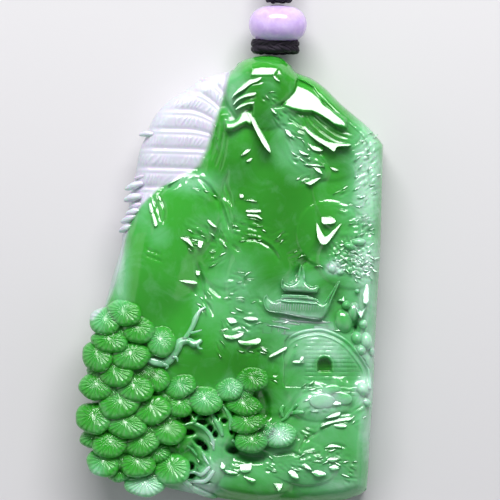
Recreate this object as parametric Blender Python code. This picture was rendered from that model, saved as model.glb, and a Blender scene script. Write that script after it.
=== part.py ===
# A carved jade landscape plaque on a black cord with one lavender bead, lying on its back.
# Units are metres, +Z is up and +Y runs from the carving towards the bead.
import math

import bmesh
import bpy
import numpy as np
from mathutils import Matrix, Vector

# Driving dimensions of the carving
carving_height = 0.0700
slab_thickness = 0.0062
relief_rise = 0.0058
edge_round = 0.0024
back_chamfer = 0.0009

# Driving dimensions of the bead, the knots and the cords
touch_gap = 0.0003
bead_diameter = 0.0091
bead_length = 0.0057
bead_cord_diameter = 0.0022
loop_cord_diameter = 0.0013
collar_width = 0.0078
collar_depth = 0.0052
collar_length = 0.0015
top_knot_width = 0.0046
top_knot_length = 0.0026
neck_cord_diameter = 0.0020
coil_mean_diameter = 0.0220
coil_turns_wide = 4
coil_turns_high = 2
tie_width = 0.0022
tie_thickness = 0.0004

# The carving is drawn on a sheet whose x runs right and y runs down, from its top to its bottom edge.
sheet_top = 54
sheet_bottom = 505
sheet_left = 77
sheet_right = 384
unit = carving_height / (sheet_bottom - sheet_top)
sheet_middle = (sheet_left + sheet_right) / 2

# The hanging hole, the collar, the bead and the top knot lean to the right in turn.
hole_x = 270
collar_x = 275
bead_x = 278
top_knot_x = 279

# The row of things above the carving's top edge, each a touch_gap from the next
collar_start = touch_gap
bead_start = collar_start + collar_length + touch_gap
top_knot_start = bead_start + bead_length + touch_gap
row_length = top_knot_start + top_knot_length
centre_y = (carving_height + row_length) / 2
top_edge_y = carving_height - centre_y
bead_z = bead_diameter / 2

for old in list(bpy.data.objects):
    bpy.data.objects.remove(old, do_unlink=True)

pendant = bpy.data.collections.new("jade_pendant")
carving_tools = bpy.data.collections.new("carving_tools")
bpy.context.scene.collection.children.link(pendant)
bpy.context.scene.collection.children.link(carving_tools)


def material(name, colour, roughness):
    made = bpy.data.materials.new(name)
    made.use_nodes = True
    shader = made.node_tree.nodes["Principled BSDF"]
    shader.inputs["Base Color"].default_value = (*colour, 1.0)
    shader.inputs["Roughness"].default_value = roughness
    shader.inputs["Metallic"].default_value = 0.0
    return made


green_jade = material("green_jade", (0.07, 0.42, 0.12), 0.12)
lavender_jade = material("lavender_jade", (0.68, 0.54, 0.85), 0.12)
black_cord = material("black_cord", (0.010, 0.009, 0.011), 0.60)


def plan(x, y):
    """A place on the sheet as metres across and up."""
    return (x - sheet_middle) * unit, (sheet_bottom - y) * unit - centre_y


def level(share):
    """A height above the back: 0 is the slab's own face and 1 the highest carving."""
    return slab_thickness + share * relief_rise


def put(name, mesh, stuff, collection=pendant):
    made = bpy.data.objects.new(name, mesh)
    collection.objects.link(made)
    mesh.materials.clear()
    mesh.materials.append(stuff)
    if collection is carving_tools:
        made.hide_render = True
        made.display_type = "WIRE"
    return made


def mesh_from(name, bm):
    bmesh.ops.recalc_face_normals(bm, faces=bm.faces)
    mesh = bpy.data.meshes.new(name)
    bm.to_mesh(mesh)
    bm.free()
    return mesh


def curve_mesh(name, curve):
    """The closed mesh of a curve, with its caps welded on."""
    holder = bpy.data.objects.new(name, curve)
    bpy.context.scene.collection.objects.link(holder)
    bpy.context.view_layer.update()
    mesh = bpy.data.meshes.new_from_object(
        holder.evaluated_get(bpy.context.evaluated_depsgraph_get())
    )
    bpy.data.objects.remove(holder, do_unlink=True)
    bm = bmesh.new()
    bm.from_mesh(mesh)
    bpy.data.meshes.remove(mesh)
    bmesh.ops.remove_doubles(bm, verts=bm.verts, dist=0.000002)
    return mesh_from(name, bm)


def smooth_route(points, step):
    """Points about one step apart along a smooth curve through the given points."""
    places = [Vector(p) for p in points]
    ends = [2 * places[0] - places[1], *places, 2 * places[-1] - places[-2]]
    route = []
    for a, b, c, d in zip(ends, ends[1:], ends[2:], ends[3:]):
        pieces = max(1, round((c - b).length / step))
        for i in range(pieces):
            t = i / pieces
            route.append(
                0.5
                * (
                    2 * b
                    + (c - a) * t
                    + (2 * a - 5 * b + 4 * c - d) * t**2
                    + (3 * b - a - 3 * c + d) * t**3
                )
            )
    route.append(places[-1])
    return route


def tube_curve(name, route, radius, sharpness=2, swell=None):
    curve = bpy.data.curves.new(name, "CURVE")
    curve.dimensions = "3D"
    curve.bevel_depth = radius
    curve.bevel_resolution = sharpness
    curve.use_fill_caps = True
    spline = curve.splines.new("POLY")
    spline.points.add(len(route) - 1)
    for i, place in enumerate(route):
        spline.points[i].co = (*place, 1.0)
        spline.points[i].radius = swell(i / (len(route) - 1)) if swell else 1.0
    return curve


def tube(name, route, radius, stuff):
    curve = tube_curve(name, route, radius)
    made = bpy.data.objects.new(name, curve)
    curve.materials.append(stuff)
    pendant.objects.link(made)
    return made


# The outline of the slab as two edges, each a list of (down, across) on the sheet.
# Between the listed places the edge runs straight, and the pine pads stand out over the left one.
left_edge = [
    (54, 262), (56, 250), (61, 239), (69, 231), (74, 210), (80, 199), (88, 187), (97, 172),
    (109, 159), (119, 152), (133, 146), (151, 139), (173, 135), (181, 132), (189, 126),
    (199, 125), (207, 128), (222, 122), (231, 120), (245, 121), (263, 116), (280, 111),
    (302, 105), (330, 97), (370, 92), (410, 90), (440, 94), (462, 106), (478, 132),
    (488, 170), (495, 205), (501, 240), (505, 262),
]
right_edge = [
    (54, 270), (56, 281), (62, 290), (71, 297), (77, 312), (87, 326), (102, 341), (114, 355),
    (125, 368), (136, 378), (143, 383), (150, 384), (190, 383), (254, 381), (302, 378),
    (345, 375), (351, 373), (357, 375), (389, 374), (430, 371), (486, 368), (493, 363),
    (498, 352), (502, 335), (505, 300),
]


def across(edge, down):
    return np.interp(down, [p[0] for p in edge], [p[1] for p in edge])


def rim_distance(x, y):
    """How far each place on the sheet is from the outline, in sheet units."""
    loop = [(c, d) for d, c in left_edge] + [(c, d) for d, c in reversed(right_edge)]
    nearest = np.full(np.shape(x), 1e9)
    for (ax, ay), (bx, by) in zip(loop, loop[1:] + loop[:1]):
        dx, dy = bx - ax, by - ay
        t = np.clip(((x - ax) * dx + (y - ay) * dy) / (dx * dx + dy * dy), 0, 1)
        nearest = np.minimum(nearest, np.hypot(x - ax - t * dx, y - ay - t * dy))
    return nearest


# Rounded rock masses on the sheet: x, y, half width, half height, turn in degrees, foot and top level
rock_masses = {
    "knob": (264, 92, 40, 40, 0, 0.10, 0.86),
    "terrace_slope": (190, 150, 66, 98, 15, 0.00, 0.30),
    "peak": (186, 218, 34, 50, 20, 0.10, 0.68),
    "left_mountain": (160, 262, 50, 84, 16, 0.00, 0.80),
    "flank": (205, 345, 66, 78, 0, 0.00, 0.58),
    "shoulder_bulge": (343, 163, 20, 26, -10, 0.10, 0.66),
    "split_boss": (328, 230, 18, 22, 0, 0.10, 0.72),
    "leafy_crag": (352, 262, 36, 38, 0, 0.05, 0.62),
    "terrace_of_pavilion": (300, 332, 60, 42, 6, 0.00, 0.46),
    "wall_hill": (330, 370, 54, 50, 0, 0.05, 0.54),
    "lower_crag": (330, 440, 58, 68, 0, 0.00, 0.62),
    "lower_slope": (255, 462, 94, 60, 0, 0.00, 0.48),
    "pine_mound": (128, 395, 74, 112, -8, 0.00, 0.60),
    "cliff": (272, 186, 60, 104, 3, 0.05, 0.54),
    "near_hill": (262, 290, 38, 55, -4, 0.05, 0.48),
    "right_shelf": (350, 176, 42, 66, 0, 0.05, 0.44),
    "middle_hollow": (224, 244, 24, 36, 0, 0.05, 0.45),
    "beside_the_wall": (274, 370, 20, 36, 0, 0.05, 0.42),
}
# Rounded ridges: a route on the sheet, half width, foot and top level
ridges = {
    "falling_ridge": (((262, 92), (252, 122), (234, 146), (216, 172), (206, 200)), 24, 0.10, 0.70),
    "right_rim": (((292, 80), (318, 95), (345, 118), (372, 142), (376, 178)), 13, 0.15, 0.66),
    "right_wall": (((376, 178), (374, 240), (371, 300), (366, 350)), 12, 0.10, 0.44),
    "inner_ripple": (((262, 108), (286, 122), (308, 146), (326, 176)), 9, 0.10, 0.48),
    "middle_ridge": (((208, 262), (232, 246), (258, 244), (282, 258)), 11, 0.08, 0.44),
}


def relief(x, y):
    """Height above the back of each place on the sheet, rock masses melting into one another."""
    total = np.full(np.shape(x), math.exp(0.0))
    sharp = 11.0
    for cx, cy, rx, ry, turn, foot, top in rock_masses.values():
        a = math.radians(turn)
        u = ((x - cx) * math.cos(a) + (y - cy) * math.sin(a)) / rx
        v = ((y - cy) * math.cos(a) - (x - cx) * math.sin(a)) / ry
        dome = np.sqrt(np.clip(1 - u**2 - v**2, 0, 1))
        total = total + np.where(dome > 0, np.exp(sharp * (foot + (top - foot) * dome)) - 1, 0)
    for route, half, foot, top in ridges.values():
        near = np.full(np.shape(x), 1e9)
        for (ax, ay), (bx, by) in zip(route, route[1:]):
            dx, dy = bx - ax, by - ay
            t = np.clip(((x - ax) * dx + (y - ay) * dy) / (dx * dx + dy * dy), 0, 1)
            near = np.minimum(near, np.hypot(x - ax - t * dx, y - ay - t * dy))
        dome = np.sqrt(np.clip(1 - (near / half) ** 2, 0, 1))
        total = total + np.where(dome > 0, np.exp(sharp * (foot + (top - foot) * dome)) - 1, 0)
    height = level(np.log(total) / sharp)
    rim = slab_thickness * 0.80
    inward = np.clip(rim_distance(x, y) * unit / edge_round, 0, 1)
    return rim + (height - rim) * np.sqrt(1 - (1 - inward) ** 2)


columns = 24
rows = 36


def spread(share, amount):
    """Moves evenly spaced shares towards both ends, where the edge is rounded."""
    return (1 - amount) * share + amount * (0.5 - 0.5 * np.cos(math.pi * share))


def slab():
    """The plaque's body: a grid raised into the relief, run down to a flat back with a chamfer."""
    bm = bmesh.new()
    bmesh.ops.create_grid(bm, x_segments=columns, y_segments=rows, size=0.5)
    for v in bm.verts:
        down = sheet_top + (sheet_bottom - sheet_top) * float(spread(0.5 - v.co.y, 0.55))
        share = float(spread(v.co.x + 0.5, 0.45))
        side = (1 - share) * across(left_edge, down) + share * across(right_edge, down)
        v.co = (*plan(side, down), float(relief(np.float64(side), np.float64(down))))
    middle = Vector(plan(sheet_middle, (sheet_top + sheet_bottom) / 2))
    rim = [e for e in bm.edges if e.is_boundary]
    for height, inset in ((back_chamfer, 0.0), (0.0, back_chamfer)):
        grown = bmesh.ops.extrude_edge_only(bm, edges=rim)["geom"]
        rim = [g for g in grown if isinstance(g, bmesh.types.BMEdge)]
        for v in {v for e in rim for v in e.verts}:
            flat = Vector((v.co.x, v.co.y))
            pull = (middle - flat).normalized() * inset
            v.co = (v.co.x + pull.x, v.co.y + pull.y, height)
    bmesh.ops.contextual_create(bm, geom=rim)
    return put("jade_carving", mesh_from("jade_carving", bm), green_jade)


# Pine pads on the sheet: x, y, half width, half height, top level. Each is a fluted round cushion.
pine_pads = [
    (124, 313, 15, 11, 0.86), (106, 321, 13, 12, 0.74), (138, 329, 14, 12, 0.80),
    (110, 341, 15, 10, 0.84), (161, 341, 13, 13, 0.78), (131, 355, 17, 12, 0.92),
    (98, 356, 13, 13, 0.72), (115, 373, 15, 12, 0.88), (157, 378, 11, 11, 0.76),
    (134, 387, 17, 12, 0.94), (97, 386, 14, 12, 0.78), (180, 386, 14, 10, 0.76),
    (205, 400, 15, 12, 0.82), (121, 403, 18, 12, 0.98), (152, 409, 17, 12, 0.92),
    (180, 404, 12, 11, 0.74), (94, 418, 15, 13, 0.82), (126, 424, 18, 11, 1.00),
    (168, 430, 15, 12, 0.86), (111, 443, 15, 12, 0.90), (142, 441, 15, 12, 0.92),
    (104, 462, 14, 12, 0.76), (138, 463, 16, 11, 0.88), (171, 468, 17, 13, 0.84),
    (145, 483, 17, 11, 0.70), (229, 389, 12, 10, 0.72), (252, 379, 14, 10, 0.74),
    (243, 404, 16, 9, 0.78), (246, 422, 16, 9, 0.82), (252, 440, 15, 10, 0.80),
    (279, 435, 15, 10, 0.76),
]
pad_flutes = 7
pad_flute_depth = 0.10
pad_drop = 0.0011
pad_root = 0.0064
pad_taper = 0.94


def pad_mesh():
    """One pad of unit half width: a fluted dome with a waist and a narrower root."""
    bm = bmesh.new()
    bmesh.ops.create_cone(
        bm, cap_ends=True, segments=2 * pad_flutes, radius1=pad_taper, radius2=0.55, depth=1.0
    )
    bmesh.ops.bisect_plane(
        bm, geom=bm.faces[:] + bm.edges[:] + bm.verts[:], plane_co=(0, 0, 0), plane_no=(0, 0, 1)
    )
    lid = [f for f in bm.faces if f.normal.z > 0.9]
    bmesh.ops.poke(bm, faces=lid)
    for v in bm.verts:
        radius = math.hypot(v.co.x, v.co.y)
        angle = math.atan2(v.co.y, v.co.x)
        ripple = 1 + pad_flute_depth * math.cos(pad_flutes * angle)
        if abs(v.co.z) < 0.01:
            v.co.x *= ripple / radius
            v.co.y *= ripple / radius
            v.co.z = -pad_drop
        elif v.co.z > 0 and radius > 0.1:
            v.co.z = -pad_drop * 0.28
        elif v.co.z > 0:
            v.co.z = 0.0
        else:
            v.co.z = -pad_root
    return mesh_from("pine_pad", bm)


def add_pads():
    shared = pad_mesh()
    for number, (x, y, half_wide, half_high, share) in enumerate(pine_pads):
        made = put(f"pine_pad_{number:02d}", shared, green_jade, carving_tools)
        turn = math.radians(37 * number % 40)
        made.matrix_world = (
            Matrix.Translation((*plan(x, y), level(share)))
            @ Matrix.Diagonal((half_wide * unit, half_high * unit, 1, 1))
            @ Matrix.Rotation(turn, 4, "Z")
        )


def rock_level(x, y):
    return float(relief(np.float64(x), np.float64(y)))


def add_bough(name, route, thick, thin, lift, sharpness=1):
    """A tapering trunk, branch or rib whose middle lies a little above the rock it grows from."""
    places = [(*plan(x, y), rock_level(x, y) + lift * relief_rise) for x, y in route]
    curve = tube_curve(
        name, smooth_route(places, 0.0050), thick * unit, sharpness, lambda t: 1 - (1 - thin / thick) * t
    )
    put(name, curve_mesh(name, curve), green_jade, carving_tools)


boughs = {
    "trunk": (((192, 490), (206, 480), (217, 462), (219, 440), (212, 414)), 8, 5, 0.10),
    "left_bough": (((217, 452), (205, 436), (188, 430), (170, 428)), 5, 3, 0.12),
    "right_bough": (((218, 446), (230, 432), (244, 412), (250, 392)), 5, 3, 0.12),
    "low_bough": (((214, 466), (232, 452), (254, 446), (276, 442)), 4, 3, 0.10),
    "upper_twig": (((140, 362), (160, 352), (182, 342), (203, 340)), 4, 2, 0.05),
}


def slab_between(name, outline, low, high, stuff=green_jade):
    """An upright-sided piece with the given outline, standing between two levels."""
    curve = bpy.data.curves.new(name, "CURVE")
    curve.dimensions = "2D"
    curve.fill_mode = "BOTH"
    curve.extrude = (high - low) / 2
    spline = curve.splines.new("POLY")
    spline.points.add(len(outline) - 1)
    for i, (x, y) in enumerate(outline):
        spline.points[i].co = (*plan(x, y), 0.0, 1.0)
    spline.use_cyclic_u = True
    made = put(name, curve_mesh(name, curve), stuff, carving_tools)
    made.location.z = (low + high) / 2
    return made


def band(name, middle_line, half, low, high):
    """A strip that follows a line on the sheet, as wide as two halves."""
    upper = [(x, y - half) for x, y in middle_line]
    lower = [(x, y + half) for x, y in reversed(middle_line)]
    slab_between(name, upper + lower, low, high)


terrace_count = 7
terrace_first_y = 100
terrace_last_y = 226
terrace_half = 6


def add_terraces():
    """The stepped fields at the upper left: arched ledges that widen downwards."""
    for number in range(terrace_count):
        share = number / (terrace_count - 1)
        y = terrace_first_y + share * (terrace_last_y - terrace_first_y)
        left = float(across(left_edge, y)) + 1
        right = 222 - 36 * share
        arch = 4 - 3 * share
        line = [
            (left + (right - left) * i / 4, y - arch * math.sin(math.pi * i / 4) + 3 * i / 4)
            for i in range(5)
        ]
        low = slab_thickness / 2
        high = level(0.36 + 0.10 * math.sin(math.pi * share))
        band(f"terrace_{number}", line, terrace_half, low, high)


def add_pavilion():
    """A hall with an upturned lower roof, a smaller upper roof, a finial and a railed base."""
    ground = level(0.18)
    base = [(262, 318), (330, 327), (332, 340), (289, 343), (262, 336)]
    slab_between("pavilion_base", base, ground, level(0.60))
    hall = [(274, 296), (320, 296), (322, 322), (274, 320)]
    slab_between("pavilion_hall", hall, ground, level(0.68))
    eaves = [(262, 297), (268, 300), (282, 297), (318, 300), (338, 284), (329, 312), (318, 321),
             (292, 318), (268, 314), (262, 310)]
    slab_between("lower_roof", eaves, ground, level(0.82))
    attic = [(288, 288), (313, 288), (314, 299), (287, 299)]
    slab_between("pavilion_attic", attic, ground, level(0.76))
    crown = [(281, 277), (289, 284), (298, 282), (301, 265), (305, 282), (313, 284), (321, 282),
             (316, 293), (301, 294), (288, 293)]
    slab_between("upper_roof", crown, ground, level(0.88))


def add_arched_wall():
    """A curved brick wall with a raised coping and a small arched doorway."""
    centre_x, centre_y_wall, reach_x, reach_y = 325, 384, 41, 55
    steps = 14
    arch = [
        (
            centre_x - reach_x * math.cos(math.pi * i / steps),
            centre_y_wall - reach_y * math.sin(math.pi * i / steps),
        )
        for i in range(steps + 1)
    ]
    inner = [
        (centre_x + (x - centre_x) * 0.86, centre_y_wall + (y - centre_y_wall) * 0.88)
        for x, y in arch
    ]
    slab_between("brick_wall", arch, level(0.1), level(0.62))
    slab_between("wall_coping", arch + inner[::-1], level(0.1), level(0.70))
    door = [(318, 378), (318, 366)]
    door += [(325 - 7 * math.cos(math.pi * i / 6), 364 - 7 * math.sin(math.pi * i / 6)) for i in range(7)]
    door += [(332, 366), (332, 378)]
    return slab_between("doorway", door, level(0.42), level(0.80))


def add_lump(name, x, y, half_wide, half_high, lift, sides=6):
    """A rounded boulder or leaf clump, half of it under the rock."""
    bm = bmesh.new()
    bmesh.ops.create_uvsphere(bm, u_segments=sides, v_segments=3, radius=1.0)
    made = put(name, mesh_from(name, bm), green_jade, carving_tools)
    ground = rock_level(x, y) - lump_root
    deep = lift * relief_rise + lump_root
    made.matrix_world = Matrix.Translation((*plan(x, y), ground)) @ Matrix.Diagonal(
        (half_wide * unit, half_high * unit, deep, 1)
    )


lump_root = 0.0006
lumps = [
    (338, 246, 10, 8, 0.16), (354, 243, 10, 9, 0.18), (368, 250, 9, 9, 0.14),
    (334, 262, 10, 9, 0.15), (350, 261, 10, 9, 0.20), (366, 267, 9, 9, 0.15),
    (343, 276, 10, 8, 0.15), (361, 284, 9, 8, 0.14), (346, 305, 7, 7, 0.12),
    (361, 323, 8, 7, 0.12), (346, 322, 8, 6, 0.12), (365, 339, 8, 8, 0.12),
    (292, 411, 14, 8, 0.12), (318, 402, 16, 10, 0.16), (344, 410, 13, 9, 0.14),
    (114, 288, 7, 9, 0.12), (124, 262, 7, 9, 0.12), (130, 238, 8, 8, 0.12),
]
knob_ribs = 4


def add_knob_ribs():
    """Crescent ribs on the knob's left flank."""
    for number in range(knob_ribs):
        x, y = 236 + 5 * number, 104 - 7 * number
        route = [(x - 5, y + 4), (x, y - 3), (x + 7, y - 6)]
        add_bough(f"knob_rib_{number}", route, 3.4, 2.0, 0.02, 0)


shoulder_ribs = 5


def add_shoulder_ribs():
    """Fine parallel ribs on the dished right shoulder."""
    for number in range(shoulder_ribs):
        x, y = 306 + 9 * number, 108 + 8 * number
        route = [(x, y), (x + 10, y + 2), (x + 17, y + 8)]
        add_bough(f"shoulder_rib_{number}", route, 3.0, 1.8, 0.02, 0)


# The cord's way through the top edge: in above, round, and out along a groove in the back
loop_depth = 0.0050
loop_high = 0.0040
loop_low = loop_cord_diameter / 2 + touch_gap
loop_clearance = 0.0003


def loop_route(overrun):
    side = plan(hole_x, sheet_top)[0]
    turn = (loop_high - loop_low) / 2
    centre = (top_edge_y - loop_depth, loop_low + turn)
    bend = [
        (side, centre[0] - turn * math.sin(a), centre[1] + turn * math.cos(a))
        for a in (math.pi * i / 10 for i in range(11))
    ]
    return [(side, top_edge_y + overrun, loop_high), *bend, (side, top_edge_y + overrun, loop_low)]


def add_cord_hole():
    radius = loop_cord_diameter / 2 + loop_clearance
    hole = tube_curve("cord_hole", loop_route(0.004), radius)
    hole_tool = put("cord_hole", curve_mesh("cord_hole", hole), green_jade, carving_tools)
    bm = bmesh.new()
    bmesh.ops.create_cube(bm, size=1.0)
    groove = put("cord_groove", mesh_from("cord_groove", bm), green_jade, carving_tools)
    long = loop_depth + 0.004
    groove.matrix_world = Matrix.Translation(
        (plan(hole_x, 0)[0], top_edge_y + 0.004 - long / 2, loop_low / 2 - 0.0005)
    ) @ Matrix.Diagonal((1.9 * radius, long, loop_low + 0.001, 1))
    return [hole_tool, groove]


def join_carving():
    body = slab()
    add_pads()
    add_terraces()
    add_pavilion()
    doorway = add_arched_wall()
    for name, values in boughs.items():
        add_bough(name, *values)
    for number, values in enumerate(lumps):
        add_lump(f"lump_{number:02d}", *values)
    add_knob_ribs()
    add_shoulder_ribs()
    raised = bpy.data.collections.new("raised_carving")
    carving_tools.children.link(raised)
    for tool in list(carving_tools.objects):
        if tool is not doorway:
            carving_tools.objects.unlink(tool)
            raised.objects.link(tool)
    union = body.modifiers.new("raised_carving", "BOOLEAN")
    union.operation = "UNION"
    union.operand_type = "COLLECTION"
    union.collection = raised
    union.solver = "EXACT"
    union.use_self = False
    for tool in (doorway, *add_cord_hole()):
        cut = body.modifiers.new(tool.name, "BOOLEAN")
        cut.operation = "DIFFERENCE"
        cut.object = tool
        cut.solver = "EXACT"
    weld = body.modifiers.new("weld", "WELD")
    weld.merge_threshold = 0.00002
    return body


def turned(name, profile, stuff, steps=20):
    """A closed ring turned about its own Y axis from a loop of (radius, along) points."""
    bm = bmesh.new()
    loop = [bm.verts.new((r, a, 0)) for r, a in profile]
    edges = [bm.edges.new((a, b)) for a, b in zip(loop, loop[1:] + loop[:1])]
    bmesh.ops.spin(
        bm, geom=loop + edges, axis=(0, 1, 0), cent=(0, 0, 0), angle=2 * math.pi, steps=steps,
        use_merge=True,
    )
    bmesh.ops.remove_doubles(bm, verts=bm.verts, dist=0.000002)
    made = put(name, mesh_from(name, bm), stuff)
    for face in made.data.polygons:
        face.use_smooth = True
    return made


def add_bead():
    """An oblate bead whose bore runs along Y."""
    bore = bead_cord_diameter / 2 + touch_gap
    half = bead_length / 2
    steps = 8
    profile = []
    for i in range(steps + 1):
        a = math.pi * (i / steps - 0.5)
        swell = math.cos(a) ** 0.8
        profile.append((bore + (bead_diameter / 2 - bore) * swell, half * math.sin(a)))
    bead = turned("lavender_bead", profile, lavender_jade)
    bead.location = (plan(bead_x, 0)[0], top_edge_y + bead_start + half, bead_z)


def add_knot(name, at_x, wide, deep, long, start, rows_of_strands, bulges):
    """A woven knot as a flattened barrel with one bulge for each strand that crosses its front."""
    bm = bmesh.new()
    bmesh.ops.create_uvsphere(bm, u_segments=2 * bulges, v_segments=2 * rows_of_strands + 2, radius=1.0)
    for v in bm.verts:
        around = math.atan2(v.co.y, v.co.x)
        ripple = 1 + 0.05 * math.cos(bulges * around)
        side = max(math.hypot(v.co.x, v.co.y), 1e-6)
        full = side**0.35 / side if side > 1e-5 else 1
        v.co.x *= full * ripple
        v.co.y *= full * ripple
    bmesh.ops.rotate(bm, verts=bm.verts, matrix=Matrix.Rotation(math.pi / 2, 3, "X"))
    bmesh.ops.scale(bm, verts=bm.verts, vec=(wide / 2 / 1.05, long / 2, deep / 2 / 1.05))
    knot = put(name, mesh_from(name, bm), black_cord)
    knot.location = (plan(at_x, 0)[0], top_edge_y + start + long / 2, bead_z)


def add_row_above():
    side = plan(bead_x, 0)[0]
    add_knot("collar_knot", collar_x, collar_width, collar_depth, collar_length, collar_start, 2, 7)
    add_bead()
    add_knot(
        "top_knot", top_knot_x, top_knot_width, top_knot_width * 0.9, top_knot_length, top_knot_start, 2, 5
    )
    start = top_edge_y + collar_start + collar_length + touch_gap * 0.5
    end = top_edge_y + top_knot_start - touch_gap * 0.5
    tube("bead_cord", [(side, start, bead_z), (side, end, bead_z)], bead_cord_diameter / 2, black_cord)
    loop = loop_route(0.0)
    tube("hanging_loop", loop, loop_cord_diameter / 2, black_cord)


# The neck cord: out of the top knot, down to the surface, into the coil, and back
coil_gap_from_knot = 0.0150
coil_wide = coil_turns_wide * neck_cord_diameter
coil_high = coil_turns_high * neck_cord_diameter
coil_centre_y = top_edge_y + row_length + coil_gap_from_knot + coil_mean_diameter / 2
lead_places = [
    (0.0011, 0.0003, bead_z), (0.0013, 0.0018, bead_z - 0.0006), (0.0020, 0.0044, 0.0026),
    (0.0034, 0.0073, 0.0013), (0.0052, 0.0096, 0.0010), (0.0070, 0.0113, 0.0010),
]


def add_neck_cord():
    middle = plan(top_knot_x, 0)[0]
    knot_end = top_edge_y + row_length
    for name, side in (("neck_cord_out", -1), ("neck_cord_back", 1)):
        places = [(middle + side * x, knot_end + y, z) for x, y, z in lead_places]
        tube(name, smooth_route(places, 2 * neck_cord_diameter), neck_cord_diameter / 2, black_cord)
    inner = (coil_mean_diameter - coil_wide) / 2
    outer = (coil_mean_diameter + coil_wide) / 2
    soft = neck_cord_diameter * 0.45
    section = []
    for cx, cz, first in (
        (outer - soft, coil_high - soft, 0), (inner + soft, coil_high - soft, 90),
        (inner + soft, soft, 180), (outer - soft, soft, 270),
    ):
        for turn in (first + 15, first + 75):
            a = math.radians(turn)
            section.append((cx + soft * math.cos(a), cz + soft * math.sin(a)))
    coil = turned("neck_cord_coil", section, black_cord, 32)
    coil.rotation_euler.x = math.pi / 2
    coil.location = (middle, coil_centre_y, 0)
    return coil


def add_tie(coil):
    """A thread round the coil, which is drawn in beneath it."""
    middle = coil_mean_diameter / 2
    centre = (plan(top_knot_x, 0)[0], coil_centre_y + middle, coil_high / 2)
    bite = tie_thickness + 2 * touch_gap

    def frame(outer_y, outer_z, thick, wide, name, collection):
        bm = bmesh.new()
        bmesh.ops.create_cube(bm, size=1.0)
        bmesh.ops.scale(bm, verts=bm.verts, vec=(wide, outer_y, outer_z))
        made = put(name, mesh_from(name, bm), black_cord, collection)
        made.location = centre
        bm = bmesh.new()
        bmesh.ops.create_cube(bm, size=1.0)
        bmesh.ops.scale(bm, verts=bm.verts, vec=(2 * wide, outer_y - 2 * thick, outer_z - 2 * thick))
        inside = put(name + "_inside", mesh_from(name + "_inside", bm), black_cord, carving_tools)
        inside.location = centre
        cut = made.modifiers.new("inside", "BOOLEAN")
        cut.operation = "DIFFERENCE"
        cut.object = inside
        cut.solver = "EXACT"
        return made

    bite_tool = frame(
        coil_wide + 0.002, coil_high + 0.002, 0.001 + bite, tie_width + 2 * touch_gap,
        "tie_bite", carving_tools,
    )
    frame(coil_wide, coil_high, tie_thickness, tie_width, "coil_tie", pendant)
    cut = coil.modifiers.new("tie_bite", "BOOLEAN")
    cut.operation = "DIFFERENCE"
    cut.object = bite_tool
    cut.solver = "EXACT"


join_carving()
add_row_above()
add_tie(add_neck_cord())
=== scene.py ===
import math
import random

import bmesh
import bpy
import numpy as np
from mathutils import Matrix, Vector
from mathutils.geometry import tessellate_polygon


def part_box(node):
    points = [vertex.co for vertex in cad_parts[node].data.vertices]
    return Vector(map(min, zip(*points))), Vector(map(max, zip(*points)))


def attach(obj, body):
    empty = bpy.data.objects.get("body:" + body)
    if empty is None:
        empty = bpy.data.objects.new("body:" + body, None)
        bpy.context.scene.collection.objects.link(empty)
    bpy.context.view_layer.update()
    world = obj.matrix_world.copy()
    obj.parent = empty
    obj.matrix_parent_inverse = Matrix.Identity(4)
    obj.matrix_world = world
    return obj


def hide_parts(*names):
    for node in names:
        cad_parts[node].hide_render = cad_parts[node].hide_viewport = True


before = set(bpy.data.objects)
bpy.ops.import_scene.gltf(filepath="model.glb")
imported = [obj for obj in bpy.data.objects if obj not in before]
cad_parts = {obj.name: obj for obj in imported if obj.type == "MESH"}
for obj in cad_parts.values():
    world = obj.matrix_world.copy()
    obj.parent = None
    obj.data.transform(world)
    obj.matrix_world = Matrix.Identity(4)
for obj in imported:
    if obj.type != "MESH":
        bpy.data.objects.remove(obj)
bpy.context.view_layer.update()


def boxOf(node):  # low and high corner of a solid
    return [Vector(c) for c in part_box(node)]


# The carving is drawn on a sheet: x runs right and y runs down, and the frame gives its real size.
sheet = {"top": 54, "bottom": 505, "middle": 230.5, "slab": 0.0062, "rise": 0.0058}
carvingLow, carvingHigh = boxOf("jade_carving")
unit = (carvingHigh.y - carvingLow.y) / (sheet["bottom"] - sheet["top"])
knotLow, knotHigh = boxOf("top_knot")
beadLow, beadHigh = boxOf("lavender_bead")
beadMiddle = (beadLow + beadHigh) / 2
bpy.context.scene.view_settings.view_transform = "Standard"


def plan(x, y):  # sheet to metres across and up
    return (x - sheet["middle"]) * unit, carvingLow.y + (sheet["bottom"] - y) * unit


def level(share):  # 0 is the slab's face, 1 the highest carving
    return sheet["slab"] + share * sheet["rise"]


def show(made):
    bpy.context.scene.collection.objects.link(made)


print("camera and light")
view = {"centre": (250, 250), "field": 500, "distance": 0.62, "lean": 0.018, "plane": 0.008, "sensor": 36}
studio = {
    "sky": (0.86, 0.90, 1.0, 1), "skyStrength": 0.20,
    "floor": (0.60, 0.59, 0.60, 1), "floorRoughness": 0.75, "floorHalf": 0.9,
}
lamps = {  # place, width, height, power
    "window": ((0.02, 0.33, 0.30), 0.46, 0.16, 3.3),
    "side": ((-0.40, -0.05, 0.26), 0.55, 0.50, 0.5),
    "low": ((0.34, -0.22, 0.27), 0.50, 0.45, 0.35),
}


def makeCamera():
    target = Vector((*plan(*view["centre"]), view["plane"]))
    camera = bpy.data.objects.new("camera", bpy.data.cameras.new("camera"))
    camera.location = target + Vector((0, -view["lean"], view["distance"]))
    camera.rotation_euler = (target - camera.location).to_track_quat("-Z", "Y").to_euler()
    camera.data.sensor_width = view["sensor"]
    camera.data.lens = view["sensor"] * (target - camera.location).length / (view["field"] * unit)
    show(camera)
    bpy.context.scene.camera = camera


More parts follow.
